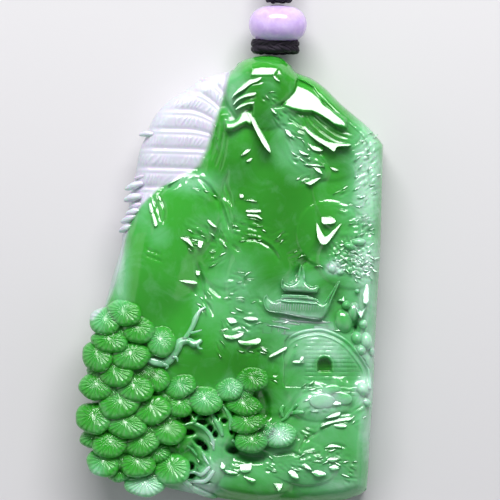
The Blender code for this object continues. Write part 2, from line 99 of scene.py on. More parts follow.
def addLamp(name, place, wide, high, power):
    lamp = bpy.data.lights.new(name, "AREA")
    lamp.shape = "RECTANGLE"
    lamp.size, lamp.size_y = wide, high
    lamp.energy = power
    made = bpy.data.objects.new(name, lamp)
    made.location = place
    made.rotation_euler = (Vector((0, 0, 0)) - Vector(place)).to_track_quat("-Z", "Y").to_euler()
    show(made)


def makeStudio():
    world = bpy.data.worlds.new("studio")
    world.use_nodes = True
    sky = world.node_tree.nodes["Background"].inputs
    sky["Color"].default_value = studio["sky"]
    sky["Strength"].default_value = studio["skyStrength"]
    bpy.context.scene.world = world
    for name, lamp in lamps.items():
        addLamp(name, *lamp)
    mesh = bpy.data.meshes.new("floor")
    half = studio["floorHalf"]
    mesh.from_pydata([(-half, -half, 0), (half, -half, 0), (half, half, 0), (-half, half, 0)], [], [(0, 1, 2, 3)])
    floor = bpy.data.objects.new("floor", mesh)
    show(floor)
    paint = bpy.data.materials.new("paleFloor")
    paint.use_nodes = True
    surface = paint.node_tree.nodes["Principled BSDF"].inputs
    surface["Base Color"].default_value = studio["floor"]
    surface["Roughness"].default_value = studio["floorRoughness"]
    mesh.materials.append(paint)


makeCamera()
makeStudio()


# One socket of a node tree, so that shader maths reads as plain maths
class Wire:
    def __init__(self, tree, socket):
        self.tree, self.socket = tree, socket

    def mathNode(self, operation, *values):
        node = self.tree.nodes.new("ShaderNodeMath")
        node.operation = operation
        for place, value in zip(node.inputs, values):
            feed(self.tree, place, value)
        return Wire(self.tree, node.outputs[0])

    def __add__(self, other):
        return self.mathNode("ADD", self, other)

    def __sub__(self, other):
        return self.mathNode("SUBTRACT", self, other)

    def __rsub__(self, other):
        return self.mathNode("SUBTRACT", other, self)

    def __mul__(self, other):
        return self.mathNode("MULTIPLY", self, other)

    __radd__ = __add__
    __rmul__ = __mul__

    def clamp(self):
        return self.mathNode("MINIMUM", self.mathNode("MAXIMUM", self, 0.0), 1.0)


def feed(tree, place, value):
    if isinstance(value, Wire):
        tree.links.new(value.socket, place)
    else:
        place.default_value = value


class Paint:
    def __init__(self, name, **constants):
        self.material = bpy.data.materials.new(name)
        self.material.use_nodes = True
        self.tree = self.material.node_tree
        self.shader = self.tree.nodes["Principled BSDF"]
        for key, value in constants.items():
            self.shader.inputs[key].default_value = value

    def node(self, kind, settings=None, sockets=None, out=0):
        made = self.tree.nodes.new("ShaderNode" + kind)
        for key, value in (settings or {}).items():
            if key == "stops":
                ramp = made.color_ramp
                ramp.elements[0].position, ramp.elements[0].color = value[0]
                ramp.elements[1].position, ramp.elements[1].color = value[-1]
                for place, colour in value[1:-1]:
                    ramp.elements.new(place).color = colour
            else:
                setattr(made, key, value)
        for key, value in (sockets or {}).items():
            feed(self.tree, made.inputs[key], value)
        return Wire(self.tree, made.outputs[out])

    def place(self):
        return self.node("TexCoord", out=3)

    def noise(self, scale, detail=3.0, rough=0.5, warp=0.0):
        values = {"Vector": self.place(), "Scale": scale, "Detail": detail, "Roughness": rough, "Distortion": warp}
        return self.node("TexNoise", None, values)

    def own(self, name):
        return self.node("Attribute", {"attribute_name": name}, out=2)

    def blend(self, amount, first, second):
        settings = {"data_type": "RGBA", "blend_type": "MIX", "clamp_factor": True}
        return self.node("Mix", settings, {0: amount, 6: first, 7: second}, out=2)

    def bump(self, height, strength, distance):
        return self.node("Bump", None, {"Strength": strength, "Distance": distance, "Height": height})

    def set(self, key, value):
        feed(self.tree, self.shader.inputs[key], value)


print("materials")
jadeLook = {
    "deep": (0.020, 0.215, 0.008, 1),
    "vivid": (0.040, 0.350, 0.028, 1),
    "mint": (0.20, 0.56, 0.30, 1),
    "frost": (0.52, 0.76, 0.62, 1),
    "white": (0.61, 0.56, 0.70, 1),
    "cloudy": (0.55, 0.59, 0.64, 1),
}
beadLook = {"dark": (0.46, 0.30, 0.72, 1), "light": (0.68, 0.55, 0.86, 1), "vein": (0.90, 0.85, 0.95, 1)}
cordLook = {"shade": (0.002, 0.0015, 0.003, 1), "fibre": (0.030, 0.018, 0.040, 1)}


def makeJade():
    paint = Paint("carvedJade", **{
        "Subsurface Weight": 0.55, "Subsurface Radius": (0.25, 1.0, 0.35), "Subsurface Scale": 0.0022,
        "IOR": 1.66, "Coat Weight": 0.25, "Coat Roughness": 0.02,
    })
    large = paint.noise(70, 4, 0.55, 0.6)
    small = paint.noise(420, 5, 0.6, 0.3)
    wisps = paint.noise(190, 4, 0.6, 1.6)
    mint = (paint.own("mint") + (wisps - 0.5) * 0.55 + (small - 0.5) * 0.16).clamp()
    deep = (paint.own("deep") + (large - 0.5) * 1.1).clamp()
    white = (paint.own("white") + (small - 0.5) * 0.10 + (wisps - 0.5) * 0.12).clamp()
    green = paint.blend(deep, jadeLook["vivid"], jadeLook["deep"])
    green = paint.blend(mint, green, jadeLook["mint"])
    green = paint.blend((mint - 0.55) * 1.6, green, jadeLook["frost"])
    pale = paint.blend(wisps, jadeLook["cloudy"], jadeLook["white"])
    paint.set("Base Color", paint.blend(white, green, pale))
    paint.set("Roughness", 0.055 + 0.05 * small + 0.40 * paint.own("white"))
    grain = paint.noise(900, 4, 0.6)
    paint.set("Normal", paint.bump(grain + 2.0 * large, 0.10, 0.0002))
    return paint.material


def makeLavender():
    paint = Paint("lavenderBead", **{
        "Subsurface Weight": 0.85, "Subsurface Radius": (1.0, 0.8, 1.0), "Subsurface Scale": 0.0050,
        "IOR": 1.66, "Coat Weight": 0.2, "Coat Roughness": 0.03,
    })
    cloud = paint.noise(260, 5, 0.55, 1.2)
    vein = paint.noise(600, 4, 0.6, 2.0)
    colour = paint.blend(cloud, beadLook["dark"], beadLook["light"])
    paint.set("Base Color", paint.blend((vein - 0.45) * 0.8, colour, beadLook["vein"]))
    paint.set("Roughness", 0.10 + 0.06 * vein)
    paint.set("Normal", paint.bump(vein, 0.05, 0.0002))
    return paint.material


def makeCordPaint():
    paint = Paint("blackCord", **{
        "IOR": 1.5, "Specular IOR Level": 0.25, "Sheen Weight": 0.06, "Sheen Roughness": 0.4,
    })
    fibre = paint.noise(5200, 5, 0.7)
    wear = paint.noise(900, 3, 0.6)
    paint.set("Base Color", paint.blend(fibre * wear * 1.4, cordLook["shade"], cordLook["fibre"]))
    paint.set("Roughness", 0.42 + 0.25 * wear)
    paint.set("Normal", paint.bump(fibre, 0.8, 0.00012))
    return paint.material


jade = makeJade()
lavender = makeLavender()
cordPaint = makeCordPaint()


def addPiece(name, verts, faces, material, slot):
    mesh = bpy.data.meshes.new(name)
    mesh.from_pydata(np.asarray(verts, float).reshape(-1, 3).tolist(), [], faces)
    bm = bmesh.new()
    bm.from_mesh(mesh)
    bmesh.ops.recalc_face_normals(bm, faces=bm.faces)
    bm.to_mesh(mesh)
    bm.free()
    mesh.materials.append(material)
    mesh.shade_smooth()
    made = bpy.data.objects.new(name, mesh)
    show(made)
    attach(made, "root")
    return made


# Several closed shapes gathered into one mesh
class Clay:
    def __init__(self):
        self.verts, self.faces = [], []

    def add(self, verts, faces):
        start = sum(len(v) for v in self.verts)
        self.verts.append(np.asarray(verts, float).reshape(-1, 3))
        self.faces += [tuple(start + i for i in f) for f in faces]

    def piece(self, name, material, slot):
        return addPiece(name, np.vstack(self.verts), self.faces, material, slot)


def spline(points, count):  # evenly spaced places on a smooth curve through the points
    p = np.asarray(points, float)
    p = np.vstack([2 * p[0] - p[1], p, 2 * p[-1] - p[-2]])
    dense = []
    for a, b, c, d in zip(p, p[1:], p[2:], p[3:]):
        for t in np.linspace(0, 1, 24, endpoint=False):
            curve = 2 * b + (c - a) * t + (2 * a - 5 * b + 4 * c - d) * t**2 + (3 * b - a - 3 * c + d) * t**3
            dense.append(0.5 * curve)
    dense.append(p[-2])
    dense = np.array(dense)
    run = np.concatenate([[0], np.cumsum(np.linalg.norm(np.diff(dense, axis=0), axis=1))])
    at = np.linspace(0, run[-1], count)
    return np.stack([np.interp(at, run, dense[:, k]) for k in range(p.shape[1])], 1)


def bands(around, rows, start=0, turned=False):  # the faces between rings of places
    faces = []
    for k in range(rows):
        for j in range(around):
            a, b = start + k * around + j, start + k * around + (j + 1) % around
            faces.append((a, a + around, b + around, b) if turned else (a, b, b + around, a + around))
    return faces


def dome(around, rows):  # the faces of rings that close to a point at the top and are flat below
    faces = [(0, 1 + j, 1 + (j + 1) % around) for j in range(around)]
    return faces + bands(around, rows, 1, True) + [tuple(1 + rows * around + j for j in range(around))]


def sweep(path, radius, sides=12, groove=None):  # a closed tube along a path
    path = np.asarray(path, float)
    ahead = np.gradient(path, axis=0)
    ahead /= np.linalg.norm(ahead, axis=1)[:, None]
    side = np.cross(ahead[0], (0, 0, 1))
    if np.linalg.norm(side) < 0.1:
        side = np.cross(ahead[0], (1, 0, 0))
    rings = []
    for k, (place, way) in enumerate(zip(path, ahead)):
        side = side - way * np.dot(side, way)
        side /= np.linalg.norm(side)
        up = np.cross(side, way)
        angle = np.linspace(0, 2 * math.pi, sides, endpoint=False)
        thick = radius[k] if np.ndim(radius) else radius
        thick = thick * groove(angle, k) if groove else np.full(sides, thick)
        rings.append(place + np.outer(thick * np.cos(angle), side) + np.outer(thick * np.sin(angle), up))
    last = (len(path) - 1) * sides
    faces = bands(sides, len(path) - 1)
    faces.append(tuple(range(sides - 1, -1, -1)))
    faces.append(tuple(last + j for j in range(sides)))
    return np.vstack(rings), faces


def braid(step):  # the plaited surface of a cord
    def groove(angle, k):
        return 0.93 + 0.07 * np.maximum(np.cos(4 * angle + step * k), np.cos(4 * angle - step * k))

    return groove


print("neck cord")
neckCord = {
    "diameter": 0.0020, "meanDiameter": 0.0220, "gap": 0.0150, "enter": 233, "layers": (0.0010, 0.0030),
    "turnsOut": (1.5, 0.5, -0.5, -1.5, -1.5, -0.5, 0.5, 1.5), "stepFrom": 0.72, "placesPerTurn": 48,
    "tieAt": 90, "pinchDegrees": 13, "pinchAcross": 0.13, "pinchUp": 0.42, "plaitsPerMetre": 430, "spacing": 0.00042,
    "comingOut": 0.0016,
}
leadPlaces = [
    (0.0011, 0.0003, beadMiddle.z), (0.0013, 0.0018, beadMiddle.z - 0.0006), (0.0020, 0.0044, 0.0026),
    (0.0034, 0.0073, 0.0013), (0.0052, 0.0096, 0.0010), (0.0070, 0.0113, 0.0010),
]
knotX = (knotLow.x + knotHigh.x) / 2
coilCentre = (knotX, knotHigh.y + neckCord["gap"] + neckCord["meanDiameter"] / 2)


def easing(t):
    t = np.clip(t, 0, 1)
    return t * t * (3 - 2 * t)


def coilRoute():
    low, high = neckCord["layers"]
    mean = neckCord["meanDiameter"] / 2
    radii = [mean + neckCord["diameter"] * k for k in neckCord["turnsOut"]]
    start = math.radians(neckCord["enter"])
    total = 7 + (2 * neckCord["enter"] - 180) / 360
    places = []
    for turn in np.linspace(0, total, int(total * neckCord["placesPerTurn"])):
        number = min(int(turn), 7)
        step = float(easing((turn - number - neckCord["stepFrom"]) / (1 - neckCord["stepFrom"])))
        after = min(number + 1, 7)
        radius = radii[number] + (radii[after] - radii[number]) * step
        height = low if number < 3 else high
        if number == 3:
            height = low + (high - low) * step
        angle = start - 2 * math.pi * turn
        off = (math.degrees(angle) - neckCord["tieAt"] + 180) % 360 - 180
        pinch = math.exp(-((off / neckCord["pinchDegrees"]) ** 2))
        radius = mean + (radius - mean) * (1 - neckCord["pinchAcross"] * pinch)
        height = height + (0.5 * (low + high) - height) * neckCord["pinchUp"] * pinch
        places.append((coilCentre[0] + radius * math.cos(angle), coilCentre[1] + radius * math.sin(angle), height))
    return places


def neckRoute():
    left = [(knotX - x, knotHigh.y + y, z) for x, y, z in leadPlaces]
    right = [(knotX + x, knotHigh.y + y, z) for x, y, z in leadPlaces]
    right[-1] = (*right[-1][:2], neckCord["comingOut"])
    return np.array(left + coilRoute()[1:-1] + right[::-1])


def makeNeckCord():
    route = neckRoute()
    length = float(np.linalg.norm(np.diff(route, axis=0), axis=1).sum())
    path = spline(route, int(length / neckCord["spacing"]))
    step = length / len(path) * neckCord["plaitsPerMetre"] * 2 * math.pi
    verts, faces = sweep(path, neckCord["diameter"] / 2, 16, braid(step))
    cord = addPiece("neckCord", verts, faces, cordPaint, "black_cord")
    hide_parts("neck_cord_out", "neck_cord_coil", "neck_cord_back")
    [tuple(p) for p in spline(route, 420)]
    makeTie()
    print("neck cord length", round(length, 4))


coilTie = {"wraps": 5, "thick": 0.00021, "slant": 0.0001, "squareness": (0.32, 0.45)}


def makeTie():
    low, high = boxOf("coil_tie")
    middle = (low + high) / 2
    clay = Clay()
    wraps, thick = coilTie["wraps"], coilTie["thick"]
    flat, upright = coilTie["squareness"]
    halfY, halfZ = (high.y - low.y) / 2 - thick, (high.z - low.z) / 2 - thick
    for number in range(wraps):
        x = low.x + thick + (high.x - low.x - 2 * thick) * number / (wraps - 1)
        loop = []
        for t in np.linspace(0, 2 * math.pi, 73)[:-1]:
            c, s = math.cos(t), math.sin(t)
            loop.append((x + coilTie["slant"] * math.sin(t), middle.y + halfY * math.copysign(abs(c) ** flat, c),
                         middle.z + halfZ * math.copysign(abs(s) ** upright, s)))
        clay.add(*sweep(np.array(loop + loop[:2])[:-1], thick, 8))
    tie = clay.piece("coilTie", cordPaint, "black_cord")
    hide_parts("coil_tie")
    return tie


makeNeckCord()


print("bead and knots")
beadShape = {"steps": 72, "around": 128, "bore": 0.0014, "fullness": 0.92}
knots = {  # node, strands, leads and bights of the plait, half thickness of a strand, swell towards the bead
    "collarKnot": ("collar_knot", 3, 4, 11, 0.00040, 0.0009),
    "topKnot": ("top_knot", 3, 3, 7, 0.00042, 0.0002),
}


def makeBead():
    steps, around, bore = beadShape["steps"], beadShape["around"], beadShape["bore"]
    half, wide = (beadHigh.y - beadLow.y) / 2, (beadHigh.x - beadLow.x) / 2
    verts = []
    for i in range(steps + 1):
        a = math.pi * (i / steps - 0.5)
        radius = bore + (wide - bore) * max(math.cos(a), 0.0) ** beadShape["fullness"]
        for j in range(around):
            t = 2 * math.pi * j / around
            verts.append((beadMiddle.x + radius * math.cos(t), beadMiddle.y + half * math.sin(a),
                          beadMiddle.z + radius * math.sin(t)))
    faces = bands(around, steps)
    last = steps * around
    faces += [(last + j, last + (j + 1) % around, (j + 1) % around, j) for j in range(around)]  # the bore
    bead = addPiece("lavenderBead", verts, faces, lavender, "lavender_jade")
    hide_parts("lavender_bead")


knotWeave = {"perLead": 72, "swing": 0.07, "drift": 0.03, "loose": 0.22, "core": (0.80, 0.70), "coreLeast": 0.0005}


def makeKnot(name, node, strands, leads, bights, thick, swell):
    low, high = boxOf(node)
    middle = (low + high) / 2
    half = (high - low) / 2
    clay = Clay()
    rng = random.Random(bights)
    tall, rowY = half.y + swell / 2 - thick, middle.y + swell / 2
    wide, deep = half.x - thick * 1.1, half.z - thick * 1.1

    def ply(angle, k):
        return 0.86 + 0.14 * np.cos(3 * angle + 0.55 * k)

    for strand in range(strands):
        count = knotWeave["perLead"] * leads
        loop = []
        for k in range(count + 1):
            t = 2 * math.pi * leads * k / count
            weave = bights / leads * t + 2 * math.pi * strand / strands
            reach = 1 + knotWeave["swing"] * math.sin(2 * weave) + knotWeave["drift"] * math.sin(5 * t + strand)
            y = rowY + tall * (math.cos(weave) + knotWeave["loose"] * math.sin(2.3 * t + 2 * strand)) / 1.2
            loop.append((middle.x + wide * reach * math.cos(t), y, middle.z + deep * reach * math.sin(t)))
        clay.add(*sweep(np.array(loop), thick * rng.uniform(0.92, 1.05), 12, ply))
    turns = [math.pi * (i / 12 - 0.5) for i in range(13)]
    coreHigh, coreWide = knotWeave["core"]
    core = [(middle.x, middle.y + half.y * coreHigh * math.sin(a), middle.z) for a in turns]
    radii = [max(knotWeave["coreLeast"], coreWide * half.x * math.cos(a)) for a in turns]
    verts, faces = sweep(np.array(core), radii, 40)
    verts[:, 2] = middle.z + (verts[:, 2] - middle.z) * half.z / half.x
    clay.add(verts, faces)
    knot = clay.piece(name, cordPaint, "black_cord")
    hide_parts(node)


def makeStraightCord(name, node, path, thick):
    cord = addPiece(name, *sweep(path, thick, 16, braid(0.9)), cordPaint, "black_cord")
    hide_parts(node)


def makeLoop():
    low, high = boxOf("hanging_loop")
    thick = (high.x - low.x) / 2
    middleX = (low.x + high.x) / 2
    turn = (high.z - low.z) / 2 - thick
    centreY = low.y + thick + turn
    centreZ = (low.z + high.z) / 2
    bend = [(middleX, centreY - turn * math.sin(a), centreZ + turn * math.cos(a)) for a in np.linspace(0, math.pi, 15)]
    route = [(middleX, high.y, high.z - thick), *bend, (middleX, high.y, low.z + thick)]
    makeStraightCord("hangingLoop", "hanging_loop", spline(route, 120), thick)


makeBead()
for knotName, knot in knots.items():
    makeKnot(knotName, *knot)
cordLow, cordHigh = boxOf("bead_cord")
makeStraightCord(
    "beadCord", "bead_cord",
    np.linspace((beadMiddle.x, cordLow.y, beadMiddle.z), (beadMiddle.x, cordHigh.y, beadMiddle.z), 60),
    (cordHigh.x - cordLow.x) / 2,
)
makeLoop()


print("jade relief")
leftEdge = [
    (262, 54), (250, 56), (239, 61), (231, 69), (212, 74), (199, 79), (187, 88), (172, 97), (159, 109), (152, 119),
    (146, 133), (139, 151), (135, 173), (133, 181), (130, 189), (128, 199), (129, 207), (126, 222), (122, 234),
    (121, 245), (116, 263), (111, 280), (105, 302), (98, 330), (93, 370), (91, 410), (95, 440), (107, 462), (132, 478),
    (170, 489), (205, 496), (240, 502), (262, 505),
]
rightEdge = [
    (270, 54), (281, 56), (290, 63), (297, 71), (312, 77), (326, 87), (341, 102), (355, 114), (368, 125), (378, 136),
    (383, 143), (384, 150), (383, 190), (381, 254), (378, 302), (375.5, 345), (373, 351), (375, 357), (374, 389),
    (371, 430), (368, 482), (364, 492), (352, 498), (335, 502), (300, 505),
]
leftCurve, rightCurve = spline(leftEdge, 420), spline(rightEdge, 360)


def across(curve, down):
    return np.interp(down, np.maximum.accumulate(curve[:, 1]), curve[:, 0])


def nearRoute(x, y, route):  # distance to a polyline, and how far along it
    nearest, along = np.full(np.shape(x), 1e9), np.zeros(np.shape(x))
    for k, ((ax, ay), (bx, by)) in enumerate(zip(route, route[1:])):
        dx, dy = bx - ax, by - ay
        t = np.clip(((x - ax) * dx + (y - ay) * dy) / (dx * dx + dy * dy + 1e-9), 0, 1)
        gap = np.hypot(x - ax - t * dx, y - ay - t * dy)
        along = np.where(gap < nearest, (k + t) / (len(route) - 1), along)
        nearest = np.minimum(nearest, gap)
    return nearest, along


outline = np.vstack([leftCurve[::3], rightCurve[::-3]])
outline = [tuple(p) for p in np.vstack([outline, outline[:1]])]

rockMasses = {  # x, y, half width, half height, turn, foot, top
    "knob": (264, 91, 41, 42, 0, 0.34, 0.78),
    "cliff": (272, 186, 60, 104, 3, 0.22, 0.58),
    "cliffHead": (240, 150, 27, 42, 18, 0.15, 0.58),
    "terraceSlope": (190, 150, 66, 98, 15, 0.04, 0.40),
    "peak": (186, 218, 34, 50, 20, 0.30, 0.60),
    "leftMountain": (160, 262, 50, 84, 16, 0.10, 0.72),
    "flank": (205, 345, 66, 78, 0, 0.15, 0.54),
    "nearHill": (262, 290, 38, 55, -4, 0.20, 0.52),
    "shoulderDome": (322, 136, 54, 44, 38, 0.30, 0.55),
    "splitBoss": (328, 234, 34, 36, 0, 0.34, 0.44),
    "leafyCrag": (352, 260, 37, 31, 0, 0.30, 0.45),
    "rightShelf": (350, 176, 42, 66, 0, 0.36, 0.46),
    "notchFill": (226, 244, 36, 48, 0, 0.28, 0.41),
    "wallSide": (274, 372, 28, 46, 0, 0.22, 0.38),
    "eaveFill": (332, 292, 40, 44, 0, 0.26, 0.42),
    "pavilionTerrace": (300, 328, 56, 42, 6, 0.20, 0.46),
    "wallHill": (330, 370, 54, 50, 0, 0.15, 0.52),
    "lowerCrag": (330, 440, 58, 68, 0, 0.15, 0.58),
    "lowerSlope": (255, 462, 94, 60, 0, 0.10, 0.48),
    "pineMound": (132, 398, 80, 116, -8, 0.20, 0.60),
    "cloudRock": (322, 405, 30, 17, -8, 0.34, 0.62),
    "lowRock": (300, 462, 40, 24, 12, 0.34, 0.56),
    "rootRock": (252, 478, 44, 20, 6, 0.25, 0.54),
}
ridges = {  # route, half width, foot, top
    "fallingRidge": (((226, 122), (222, 142), (214, 166), (206, 192)), 15, 0.16, 0.48),
    "rightRim": (((296, 70), (322, 87), (348, 110), (376, 138), (379, 178)), 11, 0.36, 0.52),
    "trunk": (((220, 424), (223, 436), (222, 452), (214, 468), (204, 482)), 12, 0.30, 0.60),
    "arch": (((183, 426), (193, 424), (204, 430), (212, 442), (213, 458), (206, 472)), 8, 0.30, 0.60),
    "innerArch": (((182, 444), (192, 438), (202, 444), (206, 458)), 8, 0.30, 0.54),
    "rightLimb": (((224, 440), (231, 430), (229, 418), (223, 406)), 7, 0.30, 0.58),
    "leftLimb": (((218, 432), (211, 420), (207, 408)), 6, 0.30, 0.58),
    "thinLimb": (((186, 412), (195, 419), (204, 425)), 5, 0.30, 0.54),
    "rightWall": (((376, 178), (374, 240), (371, 300), (366, 350), (364, 420)), 12, 0.20, 0.44),
    "innerRipple": (((262, 108), (286, 122), (308, 146), (322, 172)), 9, 0.30, 0.50),
}

# Single chisel strokes: route on the sheet, half width in sheet units and lift in millimetres
chisel = {
    "knob": [
        (((291, 62), (298, 76), (297, 88), (291, 98), (283, 105), (274, 108)), 1.8, -0.75),
        (((252, 86), (262, 82), (274, 84), (281, 91)), 1.6, -0.06),
        (((262, 83), (252, 84), (246, 89), (238, 98)), 1.1, -0.25),
        (((256, 98), (247, 99.5), (240, 104), (236, 110)), 1.1, -0.25),
        (((254, 106), (246, 107), (240, 111)), 1.1, -0.22),
    ],
    "shoulder": [
        (((303, 119), (312, 131), (329, 144), (347, 149)), 1.2, -0.22),
        (((307, 115), (317, 127), (333, 139), (350, 144)), 1.2, -0.22),
        (((311, 112), (321, 122), (336, 134), (351, 139)), 1.2, -0.20),
        (((316, 111), (325, 119), (339, 130), (352, 134)), 1.2, -0.20),
        (((284, 108), (296, 114), (304, 122)), 2.0, 0.18),
        (((282, 112), (292, 120), (303, 128)), 1.4, -0.3),
    ],
    "brow": [
        (((219, 116), (226, 114), (231, 115)), 1.6, 0.15),
        (((223, 132), (220, 150), (214, 168)), 1.2, -0.26),
        (((217, 126), (214, 144), (210, 160)), 1.2, -0.24),
        (((227, 138), (224, 156), (219, 174)), 1.2, -0.20),
        (((228, 172), (226, 184), (230, 196), (232, 206)), 1.1, -0.25),
        (((225, 178), (223, 190), (227, 202)), 1.1, -0.22),
    ],
    "mountain": [
        (((158, 195), (164, 206), (165, 217), (163, 225)), 1.2, -0.26),
        (((154, 199), (159, 211), (161, 222)), 1.2, -0.22),
        (((146, 249), (161, 255)), 1.1, -0.18),
        (((145, 255), (163, 262)), 1.1, -0.18),
        (((199, 178), (210, 188), (219, 201), (225, 216), (231, 232)), 2.0, -0.45),
        (((191, 289), (197, 295)), 1.2, -0.25),
        (((209, 286), (221, 297)), 1.1, -0.25),
    ],
    "nearHill": [
        (((243, 239), (253, 236), (266, 241), (275, 248), (282, 259)), 1.3, 0.14),
        (((243, 242), (253, 239), (265, 244), (273, 250), (280, 261)), 1.4, -0.30),
        (((232, 245), (240, 252)), 1.1, -0.25),
        (((197, 262), (202, 280), (206, 300), (214, 316)), 2.2, -0.5),
    ],
    "lowerRight": [
        (((320, 424), (330, 417), (340, 414), (352, 413)), 1.4, -0.30),
        (((321, 429), (331, 423), (341, 421), (350, 420)), 1.3, -0.26),
        (((325, 448), (334, 444), (346, 447)), 1.3, -0.26),
        (((298, 452), (304, 440), (318, 432)), 1.6, -0.35),
        (((272, 455), (290, 452), (306, 458)), 1.6, -0.40),
    ],
    "darkValleys": [
        (((228, 447), (236, 451), (250, 456), (268, 456)), 4.2, -1.3),
        (((238, 436), (236, 428), (234, 416)), 2.6, -1.1),
        (((262, 391), (266, 404), (266, 420)), 4.0, -0.6),
        (((128, 366), (136, 368), (146, 368)), 2.6, -1.6),
        (((168, 442), (176, 444)), 2.4, -1.2),
        (((194, 439), (203, 444), (207, 452)), 2.4, -1.8),
    ],
}
rippleFields = [  # x, y, half width, half height, turn, pitch of the waves, height in millimetres
    (204, 233, 20, 12, 24, 6.4, 0.19), (249, 230, 18, 13, 14, 5.4, 0.19), (280, 238, 8, 8, -30, 5.4, 0.19),
    (216, 256, 10, 9, -30, 5.4, 0.19), (296, 255, 8, 6, -20, 5.3, 0.17), (312, 266, 8, 3, 10, 5.3, 0.15),
    (239, 279, 15, 9, 8, 5.4, 0.19), (236, 296, 13, 8, -16, 5.4, 0.19), (252, 302, 12, 6, 12, 5.4, 0.19),
    (243, 325, 21, 10, 6, 6.6, 0.19), (246, 313, 14, 5, 4, 5.4, 0.19), (205, 300, 8, 16, 55, 5.3, 0.19),
    (205, 192, 13, 7, 32, 5.3, 0.17), (231, 212, 5, 18, 70, 5.3, 0.17), (222, 240, 6, 10, 60, 5.3, 0.19),
    (296, 140, 9, 14, 40, 5.4, 0.19), (313, 160, 12, 12, 22, 5.5, 0.19), (283, 120, 9, 8, 38, 5.4, 0.19),
    (310, 180, 13, 6, -20, 5.5, 0.19), (296, 158, 6, 8, 30, 5.4, 0.19), (269, 99, 8, 7, 32, 5.3, 0.15),
    (349, 209, 13, 7, 10, 5.4, 0.19), (362, 222, 12, 9, -12, 5.3, 0.19), (341, 192, 8, 5, -26, 5.3, 0.19),
    (310, 386, 21, 7, 2, 6.4, 0.19), (276, 378, 7, 5, 8, 5.3, 0.17), (298, 349, 9, 7, -24, 5.4, 0.15),
    (303, 431, 10, 5, 38, 5.4, 0.19), (316, 455, 24, 9, -25, 6.5, 0.19), (272, 465, 9, 9, 10, 5.4, 0.19),
    (297, 470, 14, 7, 28, 5.4, 0.19), (335, 460, 8, 8, 20, 5.4, 0.19), (205, 465, 10, 9, 60, 5.4, 0.19),
    (350, 470, 9, 14, 12, 5.4, 0.15), (358, 412, 9, 12, -30, 5.4, 0.17), (347, 392, 12, 6, 8, 5.4, 0.19),
    (235, 470, 12, 6, 12, 5.4, 0.17), (193, 246, 8, 6, 20, 5.4, 0.17), (222, 348, 6, 8, 50, 5.3, 0.15),
    (256, 350, 16, 7, 6, 5.4, 0.17), (226, 330, 6, 10, 60, 5.3, 0.17), (215, 132, 5, 22, 82, 5.3, 0.15),
    (332, 330, 9, 4, 6, 5.3, 0.15), (287, 320, 16, 3, 6, 5.2, 0.17), (318, 405, 20, 8, -6, 6.4, 0.17),
    (366, 150, 16, 20, -38, 5.4, 0.22), (368, 185, 14, 22, -30, 5.2, 0.22), (362, 224, 16, 12, -20, 5.0, 0.17),
    (353, 258, 26, 20, -18, 5.0, 0.2), (364, 268, 16, 16, 30, 4.6, 0.22), (350, 256, 24, 18, 52, 4.8, 0.22),
    (357, 260, 22, 17, 4, 4.4, 0.2),
]
facing = {"slope": 0.45, "edge": 1.4, "small": 4.4, "lift": 0.00006, "raise": 0.35}
sideSlopes = {0: -0.13, 10: -0.12}  # glints that also slope sideways
